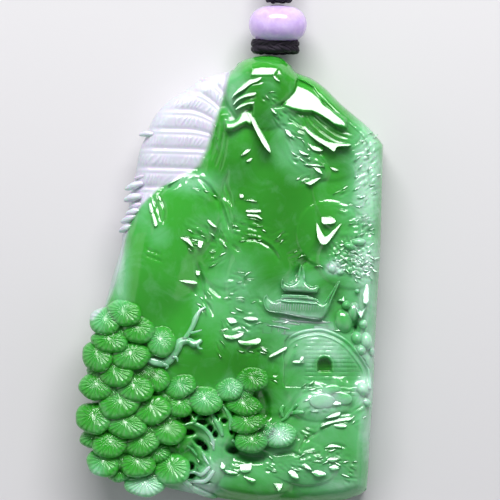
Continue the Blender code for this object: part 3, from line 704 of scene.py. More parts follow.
glints = [  # outlines of the flat polished cuts that face the window
    [(297.4, 78.6), (306, 82), (313, 86.6), (317.4, 94), (323.4, 104.6), (334, 111.6), (346, 119), (346.6, 128.6),
     (335, 126), (328, 121), (322, 117), (312, 112), (302, 112), (292, 109.6), (282.6, 105.6), (289, 97.4),
     (294.8, 91.4)],
    [(250.8, 64), (280.6, 63.6), (274.4, 76.4), (250.8, 76.8)],
    [(225.4, 121.4), (226, 130.3), (232.4, 130.3), (240, 126.5), (246.4, 123.3), (251.5, 126), (252.8, 107.4),
     (245.2, 109.3), (241.4, 113.8), (236, 121), (231, 123)],
    [(247, 113), (251, 121), (255, 130), (260, 140), (265, 148), (270, 152), (268, 145), (263, 135), (258, 126),
     (253, 116)],
    [(245, 82), (251.6, 78.0), (260.5, 78.4), (257, 82.5), (250, 85.5), (244, 90), (237.5, 94), (233, 98), (236, 92)],
    [(254.8, 93.4), (251.6, 92.2), (245.2, 94.2), (237.6, 99.1), (233.6, 106), (238.8, 101), (245.2, 98),
     (254.1, 96.2)],
    [(253, 102.4), (247.8, 102.0), (241, 105), (235.6, 110.4), (242.7, 107.2), (248, 105), (253, 104.8)],
    [(272.7, 76), (275.5, 77), (280, 82.5), (275, 80)],
    [(270.8, 109), (273.5, 109.6), (276.8, 114.6), (273, 113)],
    [(284.8, 129.4), (289, 130.6), (291.6, 137), (287, 134.6)],
    [(303.6, 123.8), (310, 130.6), (318, 136.6), (330, 142.6), (347, 144), (347, 146), (336, 147), (333, 151.6),
     (328, 148), (317, 141), (308, 133)],
    [(308, 144), (317, 147), (323, 146), (321, 151.4), (313, 150)],
    [(304.6, 165), (312, 163.4), (324, 166.8), (313, 166.2)],
    [(313.3, 167.8), (318, 168), (322, 174), (316.4, 171.4)],
    [(306.2, 183.6), (310, 180.6), (320.4, 177.8), (316, 181.8), (311, 185)],
    [(330, 167.8), (334, 167.8), (338.4, 170.8), (333.6, 170.6)],
    [(298.4, 150), (303, 152), (309, 155.4), (302, 154.6)],
    [(322, 217.4), (329, 215.8), (335.4, 221.6), (329, 224.2), (322.4, 223.2)],
    [(317, 221.8), (320, 228), (323, 234), (326, 236.6), (333, 230), (340.6, 223.8), (334, 233.6), (328.6, 241),
     (324, 244.4), (319.6, 241), (317.4, 233)],
    [(247, 209.8), (253, 208.8), (259.8, 210), (259.2, 212.6), (247, 212.4)],
    [(247.8, 214.4), (255, 213.6), (262.4, 219.8), (255, 217.2), (248, 216.4)],
    [(244.8, 200.6), (251, 198.8), (256.6, 202.2), (250.4, 201.4)],
    [(241.2, 155.8), (246, 150.2), (250.8, 149.6), (246.4, 154.2)],
    [(246.4, 161.4), (250, 158.6), (252.4, 158.8), (249, 162.2)],
    [(239.6, 194.4), (243, 194.4), (243.4, 197.6), (240, 197.6)],
    [(207, 219.8), (210.4, 220.6), (217, 227.4), (211, 225.4)],
    [(169.4, 184.6), (177, 177.4), (185, 174), (194, 173.4), (198.6, 178), (192, 176.8), (184, 177.2), (177, 180.6)],
    [(148, 203.6), (151.2, 203.4), (153.4, 212), (150, 212)],
    [(150.4, 212.6), (153.6, 212.6), (157.6, 224), (154.2, 225.6)],
    [(157, 195.4), (160, 196.4), (161.4, 201), (158.4, 199.4)],
    [(181, 238.4), (188, 237), (193.6, 248), (189, 244)],
    [(198, 240.8), (203, 241), (201.6, 247.6), (198.4, 246.6)],
    [(179, 280.6), (186, 279.6), (196, 281.6), (195.6, 284), (186, 283)],
    [(196.4, 270.6), (200, 271), (199.4, 275), (196.4, 274.6)],
    [(224.2, 334.2), (232, 335.4), (239, 333.4), (243.4, 331.4), (241, 336.4), (233, 339), (226, 337.4)],
    [(238.4, 339.6), (246, 341), (252, 339.8), (259.4, 338), (258.4, 343.4), (249, 345), (241, 343.8)],
    [(227, 318.4), (232, 317.6), (237, 321.8), (230.6, 323.6)],
    [(243, 318), (252, 316.6), (258, 319.6), (249, 320.6)],
    [(269.6, 355.6), (278, 350.6), (285.8, 346.8), (285, 350), (277, 354.4), (270.4, 357)],
    [(260.4, 346.4), (263, 347), (267, 351.6), (263.4, 350.4)],
    [(293.4, 360.6), (302, 360.2), (302.4, 362.8), (293.6, 363)],
    [(300.6, 355.6), (303.4, 356.4), (302, 361), (300, 360.6)],
    [(332.6, 401.6), (338, 400.8), (341, 404), (334, 404.8)],
    [(321, 426.4), (329, 420.4), (339, 418.4), (349.4, 417.4), (348, 420.6), (338, 421.6), (329, 423.8)],
    [(325.6, 417.6), (332, 413.8), (339.4, 411.8), (338, 415.4), (331, 417.2)],
    [(334.4, 423.8), (345.4, 424.2), (344, 427.4), (335.6, 426.6)],
    [(325, 447.6), (332, 443.8), (342, 447.2), (333, 446.8)],
    [(326.4, 459.4), (332, 456.6), (339.4, 457.6), (333, 461.2)],
    [(329, 466.4), (335, 464.2), (339, 467.6), (332, 469.4)],
    [(311.6, 471.6), (318, 469.4), (325.6, 473.6), (317, 475.6)],
    [(302.6, 464), (306, 463.6), (311.4, 468.8), (306, 468)],
    [(288, 471.4), (293, 469.4), (298.4, 477.4), (292, 476.4)],
    [(240, 464), (246, 463.4), (251.4, 461.4), (250, 470), (243, 471.4), (240.6, 469)],
    [(273.6, 483), (282.4, 483.4), (279, 490.6), (277, 488)],
    [(222, 469.6), (228, 469.4), (238, 472.6), (230, 473.2)],
    [(244, 475.4), (254.6, 478.6), (252, 481.4), (245, 477.6)],
    [(258, 437.4), (262, 436), (264, 440), (260, 441)],
    [(221.4, 461), (225, 464.6), (224.6, 468), (221.2, 467.4)],
    [(210.4, 441), (213.4, 444.4), (212.6, 445), (210.2, 442.6)],
    [(170, 382), (175, 384.6), (172, 388), (170, 387)],
]
pits = [  # dark pierced places between the boughs: x, y, half width, half height, depth in millimetres
    (162, 388, 3.0, 2.6, 2.4), (153, 395, 4.5, 2.8, 2.2), (193.4, 409.4, 3.2, 2.8, 3.0), (186, 418, 4.2, 4.4, 3.2),
    (205.6, 414.6, 3.2, 2.8, 3.0), (201.4, 422.2, 4.8, 2.4, 2.8), (210.2, 428.4, 2.8, 3.6, 2.8),
    (215.4, 434, 2.4, 3.2, 2.6), (215.4, 410.4, 1.9, 2.4, 2.6), (215.4, 418.6, 1.9, 2.8, 2.6),
    (224.4, 420.6, 2.8, 2.4, 2.4), (231.6, 430, 1.8, 4.2, 2.0), (188.6, 432, 5.2, 2.6, 3.0),
    (200, 443, 3.2, 2.2, 2.8), (204.6, 447, 2.6, 2.4, 2.8), (191, 466, 3.0, 3.6, 2.8), (190, 475, 4.6, 3.0, 2.6),
    (204, 481.4, 5.4, 1.3, 1.8), (232, 450, 5.5, 3.4, 1.8),
]
terraces = {
    "first": 90.0, "pitch": 19.6, "strokePitch": 4.7, "sideFade": 7, "foot": 222, "footFade": 14,
    "groove": 0.11, "lip": 0.04, "second": 0.08, "crown": 0.10, "beads": 0.12, "sink": 0.15,  # in millimetres
}
terraceSide = [  # y and the x up to which the slope is terraced
    (74, 232), (92, 228), (112, 221), (130, 218), (150, 213), (170, 206), (182, 190), (190, 172), (200, 150),
    (212, 136),
]


def wave(x, y, seed):  # a smooth random field, about -1 to 1
    rng = random.Random(seed)
    total = np.zeros(np.shape(x))
    for _ in range(5):
        angle, k, shift = rng.uniform(0, math.pi), rng.uniform(0.10, 0.42), rng.uniform(0, 6.28)
        total = total + np.sin(k * (x * math.cos(angle) + y * math.sin(angle)) + shift)
    return total / 2.2


def terraceShare(x, y):
    side = np.interp(y, [p[0] for p in terraceSide], [p[1] for p in terraceSide])
    return easing((side - x) / terraces["sideFade"]) * easing((terraces["foot"] - y) / terraces["footFade"])


def terraceCut(x, y):
    pitch = terraces["pitch"]
    bend = 13 * (np.clip(x - 188, 0, 40) / 28) ** 2 * np.clip((152 - y) / 40, 0.12, 1)
    phase = (y - bend + 0.03 * (190 - x) - terraces["first"]) / pitch
    f = phase - np.floor(phase)
    width = np.minimum(f, 1 - f) * pitch
    groove = -terraces["groove"] * np.exp(-((width / 1.8) ** 2))
    lip = terraces["lip"] * np.exp(-(((f - 0.17) * pitch / 1.3) ** 2))
    second = -terraces["second"] * np.exp(-(((f - 0.27) * pitch / 1.0) ** 2))
    crown = terraces["crown"] * np.sin(math.pi * np.clip(f * 1.05, 0, 1))
    slant = (x + 0.35 * y) / terraces["strokePitch"] + 0.6 * wave(x, y, 21)
    beads = np.clip(np.cos(2 * math.pi * slant), 0, 1) ** 0.8 * easing((f - 0.36) / 0.1) * easing((0.88 - f) / 0.1)
    worn = np.clip(0.8 + 0.7 * wave(x, y, 22), 0, 1.3)
    return groove + lip + second + crown + terraces["beads"] * beads * worn - terraces["sink"]


def inPolygon(x, y, points):
    inside = np.zeros(np.shape(x), bool)
    for (ax, ay), (bx, by) in zip(points, points[1:] + points[:1]):
        if ay != by:
            inside ^= ((ay > y) != (by > y)) & (x < ax + (y - ay) * (bx - ax) / (by - ay))
    return inside


def lozenge(x, y, degrees, reach, half, sag):  # a small four-sided outline, long way along the angle
    ux, uy = math.cos(math.radians(degrees)) * reach, math.sin(math.radians(degrees)) * reach
    bend = (-uy * sag, ux * sag)
    middle = (x - bend[0], y - bend[1])
    return [(x - ux, y - uy), (middle[0], middle[1] - half), (x + ux, y + uy), (middle[0], middle[1] + half)]


def thickness(points):  # area over half the outline's length
    ahead = points[1:] + points[:1]
    area = abs(sum(a[0] * b[1] - a[1] * b[0] for a, b in zip(points, ahead))) / 2
    return 2 * area / sum(math.dist(a, b) for a, b in zip(points, ahead))


def ripples(x, y):  # soft waves of water, moss and grass
    total = np.zeros(np.shape(x))
    for number, (cx, cy, wide, high, turn, pitch, lift) in enumerate(rippleFields):
        here = (abs(x - cx) < 1.5 * wide) & (abs(y - cy) < 1.5 * high)
        if not here.any():
            continue
        hx, hy = x[here], y[here]
        a = math.radians(turn)
        over = (hy - cy) * math.cos(a) - (hx - cx) * math.sin(a)
        share = np.exp(-((((hx - cx) / wide) ** 2 + ((hy - cy) / high) ** 2) ** 2))
        crest = np.cos(2 * math.pi * (over + 1.5 * wave(hx, hy, 40 + number)) / pitch)
        gate = np.clip(0.45 + 0.9 * wave(2.2 * hx, 2.2 * hy, 90 + number), 0, 1)
        total[here] += share * gate * lift * crest
    return total


def polish(x, y, z):  # turns the places inside each large glint to its plane
    for number, points in enumerate(glints):
        if thickness(points) < facing["small"]:
            continue
        spots = np.array(points)
        (lowX, lowY), (topX, topY) = spots.min(0) - 2, spots.max(0) + 2
        here = (x > lowX) & (x < topX) & (y > lowY) & (y < topY)
        if not here.any():
            continue
        hx, hy = x[here], y[here]
        near, _ = nearRoute(hx, hy, points + points[:1])
        inward = np.where(inPolygon(hx, hy, points), near, -near)
        middle = inward > 0
        if not middle.any():
            continue
        cx, cy, cz = hx[middle].mean(), hy[middle].mean(), z[here][middle].mean()
        plane = cz + (facing["slope"] * (hy - cy) + sideSlopes.get(number, 0) * (hx - cx)) * unit
        plane += facing["raise"] * max(0.0, float((z[here] - plane)[middle].max()))
        share = easing(0.5 + inward / facing["edge"])
        z[here] = z[here] * (1 - share) + plane * share
    return z


rockShape = {"sharp": 10.0, "round": 0.72, "rim": 0.80, "edge": 0.0022}  # how the masses blend, and the outer edge


def rawRelief(x, y):
    x, y = np.asarray(x, float), np.asarray(y, float)
    total = np.ones(np.shape(x))
    sharp = rockShape["sharp"]

    def mass(inside, foot, top):
        swell = np.clip(inside, 0, 1) ** rockShape["round"]
        return np.where(swell > 0, np.exp(sharp * (foot * easing(swell * 3) + (top - foot) * swell)) - 1, 0)

    for cx, cy, rx, ry, turn, foot, top in rockMasses.values():
        a = math.radians(turn)
        u = ((x - cx) * math.cos(a) + (y - cy) * math.sin(a)) / rx
        v = ((y - cy) * math.cos(a) - (x - cx) * math.sin(a)) / ry
        total = total + mass(1 - u**2 - v**2, foot, top)
    for route, half, foot, top in ridges.values():
        near, _ = nearRoute(x, y, spline(route, 14))
        total = total + mass(1 - (near / half) ** 2, foot, top)
    return level(np.log(total) / sharp)


def detailRelief(x, y):
    x, y = np.asarray(x, float), np.asarray(y, float)
    extra = np.zeros(np.shape(x))
    for strokes in chisel.values():
        for route, half, lift in strokes:
            path = spline(route, 4 * len(route))
            lowX, lowY = path.min(0) - 4 * half
            topX, topY = path.max(0) + 4 * half
            here = (x > lowX) & (x < topX) & (y > lowY) & (y < topY)
            if here.any():
                near, along = nearRoute(x[here], y[here], path)
                taper = np.clip(6 * along * (1 - along) + 0.25, 0, 1)
                extra[here] += lift * taper * np.exp(-((near / (half * (0.55 + 0.45 * taper))) ** 2))
    for cx, cy, rx, ry, depth in pits:
        extra -= depth * np.exp(-(((x - cx) / rx) ** 2 + ((y - cy) / ry) ** 2) ** 2)
    extra = extra + ripples(x, y)
    steps = terraceShare(x, y)
    extra = extra * (1 - steps) + terraceCut(x, y) * steps
    return extra / 1000


def relief(x, y, detail=True):
    height = rawRelief(x, y)
    if detail:
        height = polish(x, y, height + detailRelief(x, y))
    rim = sheet["slab"] * rockShape["rim"]
    near, _ = nearRoute(np.asarray(x, float), np.asarray(y, float), outline)
    inward = np.clip(near * unit / rockShape["edge"], 0, 1)
    return rim + (height - rim) * np.sqrt(1 - (1 - inward) ** 2)


paleZones = {  # x, y, half width, half height, amount
    "foliage": [(368, 165, 19, 46, 0.95), (362, 210, 24, 22, 0.45), (372, 260, 16, 40, 0.55),
                (350, 258, 28, 24, 0.50)],
    "cloudChain": [(283, 122, 14, 14, 0.42), (294, 152, 18, 22, 0.55), (312, 172, 14, 12, 0.30),
                   (270, 92, 10, 14, 0.2)],
    "knobSide": [(233, 84, 12, 24, 0.50), (232, 110, 8, 20, 0.35)],
    "shoulder": [(350, 122, 26, 10, 0.15), (330, 95, 22, 8, 0.12)],
    "peak": [(190, 182, 32, 12, 0.65), (160, 236, 12, 12, 0.40), (140, 200, 14, 34, 0.45), (120, 270, 10, 44, 0.80)],
    "middle": [(236, 282, 26, 30, 0.48), (240, 325, 26, 18, 0.45), (205, 305, 12, 22, 0.35),
               (222, 225, 26, 16, 0.22)],
    "pavilion": [(296, 306, 36, 18, 0.60), (300, 280, 20, 10, 0.50), (300, 328, 36, 10, 0.50),
                 # the negative entry at the door takes the pale colour out of the doorway recess: painted shade
                 (322, 352, 40, 26, 0.80), (324, 365, 9, 9, -0.9), (333, 268, 9, 8, 0.9)],
    "rightBank": [(372, 330, 14, 46, 0.62), (356, 300, 14, 28, 0.45), (370, 420, 14, 60, 0.60),
                  (362, 388, 14, 14, 0.5)],
    "lower": [(320, 402, 34, 20, 0.70), (336, 452, 44, 44, 0.25), (255, 462, 40, 20, 0.20), (300, 470, 56, 20, 0.30),
              (340, 430, 34, 18, 0.18), (345, 488, 40, 14, 0.42)],
    "roots": [(205, 476, 28, 14, 0.55), (214, 446, 20, 28, 0.45), (146, 488, 22, 12, 0.95), (196, 490, 24, 8, 0.9)],
    "padTips": [(205, 400, 13, 11, 0.45), (161, 341, 12, 12, 0.35), (99, 316, 10, 14, 0.6), (231, 388, 12, 10, 0.6),
                (279, 435, 15, 11, 0.8), (96, 476, 10, 16, 0.7), (180, 386, 12, 8, 0.3)],
}
deepZones = {  # x, y, half width, half height, amount
    # the door entry paints shade: darker green in the doorway recess
    "door": [(324, 365, 9, 9, 0.8)],
    "middle": [(285, 215, 38, 62, 0.80), (240, 180, 16, 40, 0.45), (252, 288, 26, 26, 0.55), (205, 366, 40, 20, 0.75),
               (250, 360, 26, 18, 0.55), (150, 300, 34, 26, 0.40)],
    "roundPavilion": [(330, 290, 16, 20, 0.55), (292, 286, 22, 16, 0.6)],
    "roundPine": [(262, 408, 16, 34, 0.65), (250, 452, 34, 9, 0.70)],
    "top": [(263, 132, 16, 36, 0.35), (350, 165, 12, 16, 0.35), (268, 86, 26, 22, 0.75), (322, 132, 30, 22, 0.55),
            (352, 112, 30, 18, 0.5), (352, 162, 20, 16, 0.4)],
    "left": [(125, 400, 50, 80, 0.30), (198, 425, 26, 20, 0.4), (222, 145, 12, 34, 0.35)],
}
whiteSide = [  # y and the x up to which the stone is lavender white
    (54, 231), (70, 231), (90, 226), (110, 220), (130, 214), (150, 208), (166, 200), (176, 184), (188, 160), (205, 142),
    (222, 131), (240, 126), (262, 122), (282, 117), (304, 108), (318, 96),
]


def zoneShare(x, y, zones):
    total = np.zeros(np.shape(x))
    for group in zones.values():
        for cx, cy, rx, ry, amount in group:
            total = total + amount * np.exp(-((((x - cx) / rx) ** 2 + ((y - cy) / ry) ** 2) ** 1.3))
    return total


whiteFade = {"rows": [54, 160, 200, 300], "width": [4, 9, 5, 5]}
whiteAmount = {"rows": [54, 225, 262, 318, 322], "share": [1, 1, 0.55, 0.75, 0]}


def tint(made, extraMint=0.0):  # writes the stone's colour zones on each point of a mesh
    mesh = made.data
    places = np.zeros(len(mesh.vertices) * 3)
    mesh.vertices.foreach_get("co", places)
    places = places.reshape(-1, 3)
    x = places[:, 0] / unit + sheet["middle"]
    y = sheet["bottom"] - (places[:, 1] - carvingLow.y) / unit
    side = np.interp(y, [p[0] for p in whiteSide], [p[1] for p in whiteSide])
    white = easing((side - x) / np.interp(y, *whiteFade.values()) + 0.35) * np.interp(y, *whiteAmount.values())
    shares = {"white": white, "mint": zoneShare(x, y, paleZones) + extraMint, "deep": zoneShare(x, y, deepZones)}
    for name, values in shares.items():
        store = mesh.attributes.new(name, "FLOAT", "POINT")
        store.data.foreach_set("value", np.clip(values, 0, 1.2).astype(np.float32))
    return made


def jadePiece(clay, name, extraMint=0.0):
    return tint(clay.piece(name, jade, "green_jade"), extraMint)


coping = [  # the wall's upper edge
    (279, 348), (284.3, 340.2), (291.4, 334.6), (302.1, 330.2), (312.9, 328.4), (322.9, 328.4), (334.3, 332.1),
    (345, 337.9), (352.1, 344.3), (359.3, 352.9), (365, 360.7), (370, 370.7), (371.4, 382),
]
copingBands = [(1.6, 1.2, 0.00026), (7.0, 1.1, 0.00018), (4.2, 1.3, -0.00012)]  # inward, width, rise in metres
wallShape = {
    "level": 0.49, "firstCourse": 337.4, "course": 4.3, "courseRise": 0.00011, "brick": 7.8, "jointDepth": 0.000025,
    "door": (324.4, 364.5, 7.2, 7.6), "sill": 372, "doorDepth": 0.0008, "lintelRise": 0.00012,
    "left": 282, "leftFade": 18, "foot": 388, "footFade": 13, "sink": 0.00025, "outerDrop": 0.0030,
}


def wallHeight(x, y):
    near, _ = nearRoute(x, y, [tuple(p) for p in spline(coping, 60)])
    outside = np.interp(x, *spline(coping, 90).T) > y
    inward = np.where(outside, -near, near)
    base = level(wallShape["level"]) - 0.0006 * easing((y - 352) / 26) - 0.0005 * easing((x - 350) / 20)
    rim = sum(rise * np.exp(-(((inward - at) / width) ** 2)) for at, width, rise in copingBands)
    row = (y - wallShape["firstCourse"]) / wallShape["course"]
    course = row - np.floor(row)
    brick = (x + wallShape["brick"] / 2 * np.mod(np.floor(row), 2)) / wallShape["brick"]
    joint = np.minimum(brick - np.floor(brick), np.ceil(brick) - brick) * wallShape["brick"]
    bricks = wallShape["courseRise"] * np.sin(math.pi * course) ** 0.6
    bricks = bricks - wallShape["jointDepth"] * np.exp(-((joint / 0.7) ** 2))
    worn = easing((inward - 8) / 3) * easing((x - 303) / 5) * easing((383 - y) / 5)
    worn = worn * np.clip(0.75 + 0.5 * wave(x, y, 3), 0.25, 1)
    doorX, springing, doorWide, doorHigh = wallShape["door"]
    arch = np.hypot((x - doorX) / doorWide, (np.minimum(y, springing) - springing) / doorHigh)
    aboveSill = easing((wallShape["sill"] - y) / 1.2)
    door = easing((1.0 - arch) / 0.16) * aboveSill
    lintel = wallShape["lintelRise"] * np.exp(-(((arch - 1.16) / 0.09) ** 2))
    height = base + rim + bricks * worn + lintel * aboveSill - wallShape["doorDepth"] * door
    height = height - wallShape["outerDrop"] * easing(-inward / 1.2 + 0.15)
    fromLeft = (x - wallShape["left"] - 4 * wave(x, y, 8)) / wallShape["leftFade"]
    fromFoot = (wallShape["foot"] + 3.5 * wave(x, y, 5) - y) / wallShape["footFade"]
    soft = np.clip(np.minimum(fromLeft, fromFoot), 0, 1)
    rock = rawRelief(x, y) - wallShape["sink"]
    return rock + (height - rock) * easing(soft)


grid = {"columns": 258, "rows": 352, "closerRows": 0.30, "closerColumns": 0.18}
back = [  # height and inset of the sides, in metres
    (0.0030, 0), (0.0010, 0), (0.00045, 0.0002), (0.00012, 0.0005), (0.0, 0.0009),
]
behindWall = {"left": 284, "right": 369, "foot": 386, "inside": 1, "below": 0.0004}


def spread(share, amount):  # places closer to both ends
    return (1 - amount) * share + amount * (0.5 - 0.5 * np.cos(math.pi * share))


def gridFaces(rows, columns):  # the faces of a grid of places, and its rim
    number = np.arange(rows * columns).reshape(rows, columns)
    corners = number[:-1, :-1], number[1:, :-1], number[1:, 1:], number[:-1, 1:]
    rim = np.concatenate([number[0, :], number[1:, -1], number[-1, -2::-1], number[-2:0:-1, 0]])
    return np.stack([c.ravel() for c in corners], 1).tolist(), rim


def makeRock():
    columns, rows = grid["columns"], grid["rows"]
    down = sheet["top"] + (sheet["bottom"] - sheet["top"]) * spread(np.linspace(0, 1, rows), grid["closerRows"])
    share = spread(np.linspace(0, 1, columns), grid["closerColumns"])
    left, right = across(leftCurve, down)[:, None], across(rightCurve, down)[:, None]
    x = left + (right - left) * share[None, :]
    y = np.repeat(down[:, None], columns, 1)
    z = relief(x, y)
    behind = (x > behindWall["left"]) & (x < behindWall["right"]) & (y < behindWall["foot"])
    behind &= np.interp(x, *spline(coping, 90).T) < y - behindWall["inside"]
    z = np.where(behind, np.minimum(z, wallHeight(x, y) - behindWall["below"]), z)
    px, py = plan(x, y)
    verts = [np.stack([px, py, z], -1).reshape(-1, 3)]
    faces, ring = gridFaces(rows, columns)
    rim = verts[0][ring]
    middle = np.array([*plan(sheet["middle"], (sheet["top"] + sheet["bottom"]) / 2)])
    start, last = rows * columns, ring
    for height, inset in back:
        pull = middle - rim[:, :2]
        pull /= np.linalg.norm(pull, axis=1)[:, None]
        layer = np.column_stack([rim[:, :2] + pull * inset, np.full(len(ring), height)])
        new = start + np.arange(len(ring))
        for i in range(len(ring)):
            j = (i + 1) % len(ring)
            faces.append((int(last[i]), int(last[j]), int(new[j]), int(new[i])))
        verts.append(layer)
        last, start = new, start + len(ring)
    faces.append(tuple(int(i) for i in last))
    rock = addPiece("jadeRelief", np.vstack(verts), faces, jade, "green_jade")
    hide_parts("jade_carving")
    return tint(rock)


makeRock()


sampleStep = 2.0  # the smooth rock is sampled once, and the small pieces are laid on it
sampleX, sampleY = np.arange(70, 392, sampleStep), np.arange(48, 512, sampleStep)
smoothRock = relief(*np.meshgrid(sampleX, sampleY), False)


def onRock(x, y, lift=0.0):  # places on the smooth rock, the lift is in millimetres
    x, y = np.atleast_1d(np.asarray(x, float)), np.atleast_1d(np.asarray(y, float))
    column = np.clip((x - sampleX[0]) / sampleStep, 0, len(sampleX) - 1.001)
    row = np.clip((y - sampleY[0]) / sampleStep, 0, len(sampleY) - 1.001)
    i, j = column.astype(int), row.astype(int)
    a, b = column - i, row - j
    upper = smoothRock[j, i] * (1 - a) + smoothRock[j, i + 1] * a
    lower = smoothRock[j + 1, i] * (1 - a) + smoothRock[j + 1, i + 1] * a
    px, py = plan(x, y)
    return np.column_stack([px, py, upper * (1 - b) + lower * b + np.asarray(lift) / 1000])


def stroke(clay, route, half, lift=0.0, ends=0.35, sides=8, bark=None, height=None):  # a raised line on the rock
    path = spline(route, max(8, 5 * len(route)))
    places = onRock(path[:, 0], path[:, 1], lift)
    if height is not None:
        places[:, 2] = np.interp(np.linspace(0, 1, len(path)), np.linspace(0, 1, len(height)), height)
    share = np.linspace(0, 1, len(path))
    thick = np.interp(share, np.linspace(0, 1, np.size(half)), np.atleast_1d(half)) * unit
    thick = thick * (ends + (1 - ends) * np.sin(math.pi * share) ** 0.5)
    clay.add(*sweep(places, thick, sides, bark))


def slabOf(clay, top, under):  # a grid of places and the same grid lower down, closed round the edge
    rows, columns = top.shape[:2]
    faces, ring = gridFaces(rows, columns)
    total = rows * columns
    below = top.reshape(-1, 3)[ring].copy()
    below[:, 2] = under
    for i in range(len(ring)):
        j = (i + 1) % len(ring)
        faces.append((int(ring[i]), int(ring[j]), total + j, total + i))
    faces.append(tuple(total + i for i in range(len(ring))))
    clay.add(np.vstack([top.reshape(-1, 3), below]), faces)


plateRim = [(0, None), (0, -0.9), (0.25, -0.35), (0.62, -0.08), (1, 0)]  # inset and height, None is the underside


def plate(clay, shape, top, under, soft=0.0004, tilt=0.0, lean=0.0):  # a flat-topped piece with a rounded rim
    loop = np.asarray(shape, float)
    px, py = plan(loop[:, 0], loop[:, 1])
    loop = np.column_stack([px, py])
    if np.sum(loop[:, 0] * np.roll(loop[:, 1], -1) - loop[:, 1] * np.roll(loop[:, 0], -1)) < 0:
        loop = loop[::-1]
    ahead = np.roll(loop, -1, 0) - np.roll(loop, 1, 0)
    inward = np.column_stack([-ahead[:, 1], ahead[:, 0]]) / np.linalg.norm(ahead, axis=1)[:, None]
    rings, n = [], len(loop)
    middle = loop.mean(0)
    for inset, height in plateRim:
        flat = loop + inward * inset * soft
        z = np.full(n, under) if height is None else top + height * soft + (flat - middle) @ (lean, tilt)
        rings.append(np.column_stack([flat, z]))
    faces = bands(n, len(rings) - 1)
    lid = [Vector((*p[:2], 0)) for p in rings[-1]]
    faces += [tuple((len(rings) - 1) * n + i for i in f) for f in tessellate_polygon([lid])]
    base = [tuple(reversed(f)) for f in tessellate_polygon([[Vector((*p[:2], 0)) for p in rings[0]]])]
    clay.add(np.vstack(rings), faces + base)


print("pine")
pinePads = [  # x, y, half width, half height, top as a share
    (124, 313, 15, 11, 0.86), (106, 321, 13, 12, 0.74), (138, 329, 14, 12, 0.80), (110, 341, 15, 10, 0.84),
    (161, 341, 13, 13, 0.78), (131, 355, 17, 12, 0.92), (98, 356, 13, 13, 0.72), (115, 373, 15, 12, 0.88),
    (157, 378, 11, 11, 0.76), (134, 387, 17, 12, 0.94), (97, 386, 14, 12, 0.78), (180, 386, 14, 10, 0.76),
    (205, 400, 15, 12, 0.82), (121, 403, 18, 12, 0.98), (152, 409, 17, 12, 0.92), (180, 404, 12, 11, 0.74),
    (94, 418, 15, 13, 0.82), (126, 424, 18, 11, 1.00), (168, 430, 15, 12, 0.86), (111, 443, 15, 12, 0.90),
    (142, 441, 15, 12, 0.92), (104, 462, 14, 12, 0.76), (138, 463, 16, 11, 0.88), (171, 468, 17, 13, 0.84),
    (145, 483, 17, 11, 0.70), (229, 389, 12, 10, 0.72), (252, 379, 14, 10, 0.74), (243, 404, 16, 9, 0.78),
    (246, 422, 16, 9, 0.82), (252, 440, 15, 10, 0.80), (279, 435, 15, 10, 0.76), (121, 329, 12, 9, 0.58),
    (148, 346, 12, 10, 0.52), (116, 357, 12, 9, 0.60), (145, 371, 12, 9, 0.58), (101, 371, 12, 9, 0.50),
    (136, 372, 12, 9, 0.60), (109, 389, 12, 9, 0.62), (138, 404, 12, 9, 0.66), (108, 413, 12, 9, 0.62),
    (146, 425, 12, 9, 0.66), (165, 416, 11, 9, 0.58), (124, 459, 12, 9, 0.62), (95, 437, 12, 9, 0.48),
    (156, 452, 12, 9, 0.62), (165, 395, 11, 8, 0.52), (191, 392, 10, 7, 0.50), (126, 441, 12, 9, 0.66),
    (155, 474, 12, 8, 0.5), (120, 472, 11, 8, 0.48), (240, 393, 11, 7, 0.56), (262, 430, 12, 8, 0.5),
]
padShape = {
    "grow": 1.22, "flutes": 17, "around": 132, "rings": 10, "tilt": 0.40, "lean": 0.30, "turn": 16,
    "needle": 0.000075, "cup": 0.00012, "drop": 0.0010, "root": 0.0030, "eyeShift": 0.22, "sink": 0.0003,
    "foot": [(0.99, 0.35), (0.94, 0.75), (0.86, 1.0)],  # width and share of the root
}


def padRings(x, y, wide, high, top, number):
    rng = random.Random(number)
    wide, high, peak = wide * padShape["grow"], high * padShape["grow"], level(0.42 + 0.5 * top) - padShape["sink"]
    flutes = padShape["flutes"] + rng.randint(-2, 3)
    angle = np.linspace(0, 2 * math.pi, padShape["around"], endpoint=False)
    lean, turn = rng.uniform(0.0, padShape["lean"]), math.radians(rng.uniform(-padShape["turn"], padShape["turn"]))
    wobble = 1 + 0.04 * np.cos(2 * angle + rng.uniform(0, 6)) + 0.025 * np.cos(5 * angle + rng.uniform(0, 6))
    needles = np.cos(flutes / 2 * angle)
    rings = []
    for share in np.linspace(0.07, 1, padShape["rings"]):
        rise = -padShape["drop"] * (0.10 * share + 0.30 * share**2 + 0.60 * share**8)
        cup = padShape["cup"] * math.exp(-((share / 0.2) ** 2))
        cut = padShape["needle"] * (1 - 2 * np.abs(needles) ** 1.5)
        cut = cut * easing((share - 0.10) / 0.25) * easing((1.02 - share) / 0.16)
        radius = share * wobble * (1 + 0.006 * needles * easing((share - 0.7) / 0.3))
        u, v = wide * radius * np.cos(angle), high * radius * np.sin(angle)
        px = x + u * math.cos(turn) - v * math.sin(turn)
        py = y - u * math.sin(turn) - v * math.cos(turn) - padShape["eyeShift"] * high * (1 - share)
        slope = (lean * (px - x) + padShape["tilt"] * (py - y)) * unit
        rings.append(np.column_stack([*plan(px, py), peak + rise - cup + cut + slope]))
    for inset, deep in padShape["foot"]:
        ring = rings[padShape["rings"] - 1].copy()
        centre = np.array(plan(x, y))
        ring[:, :2] = centre + (ring[:, :2] - centre) * inset
        ring[:, 2] = ring[:, 2] - padShape["root"] * deep
        rings.append(ring)
    lift = -padShape["eyeShift"] * high
    middle = np.array([[*plan(x, y + lift), peak - padShape["cup"] + padShape["tilt"] * lift * unit]])
    return rings, middle


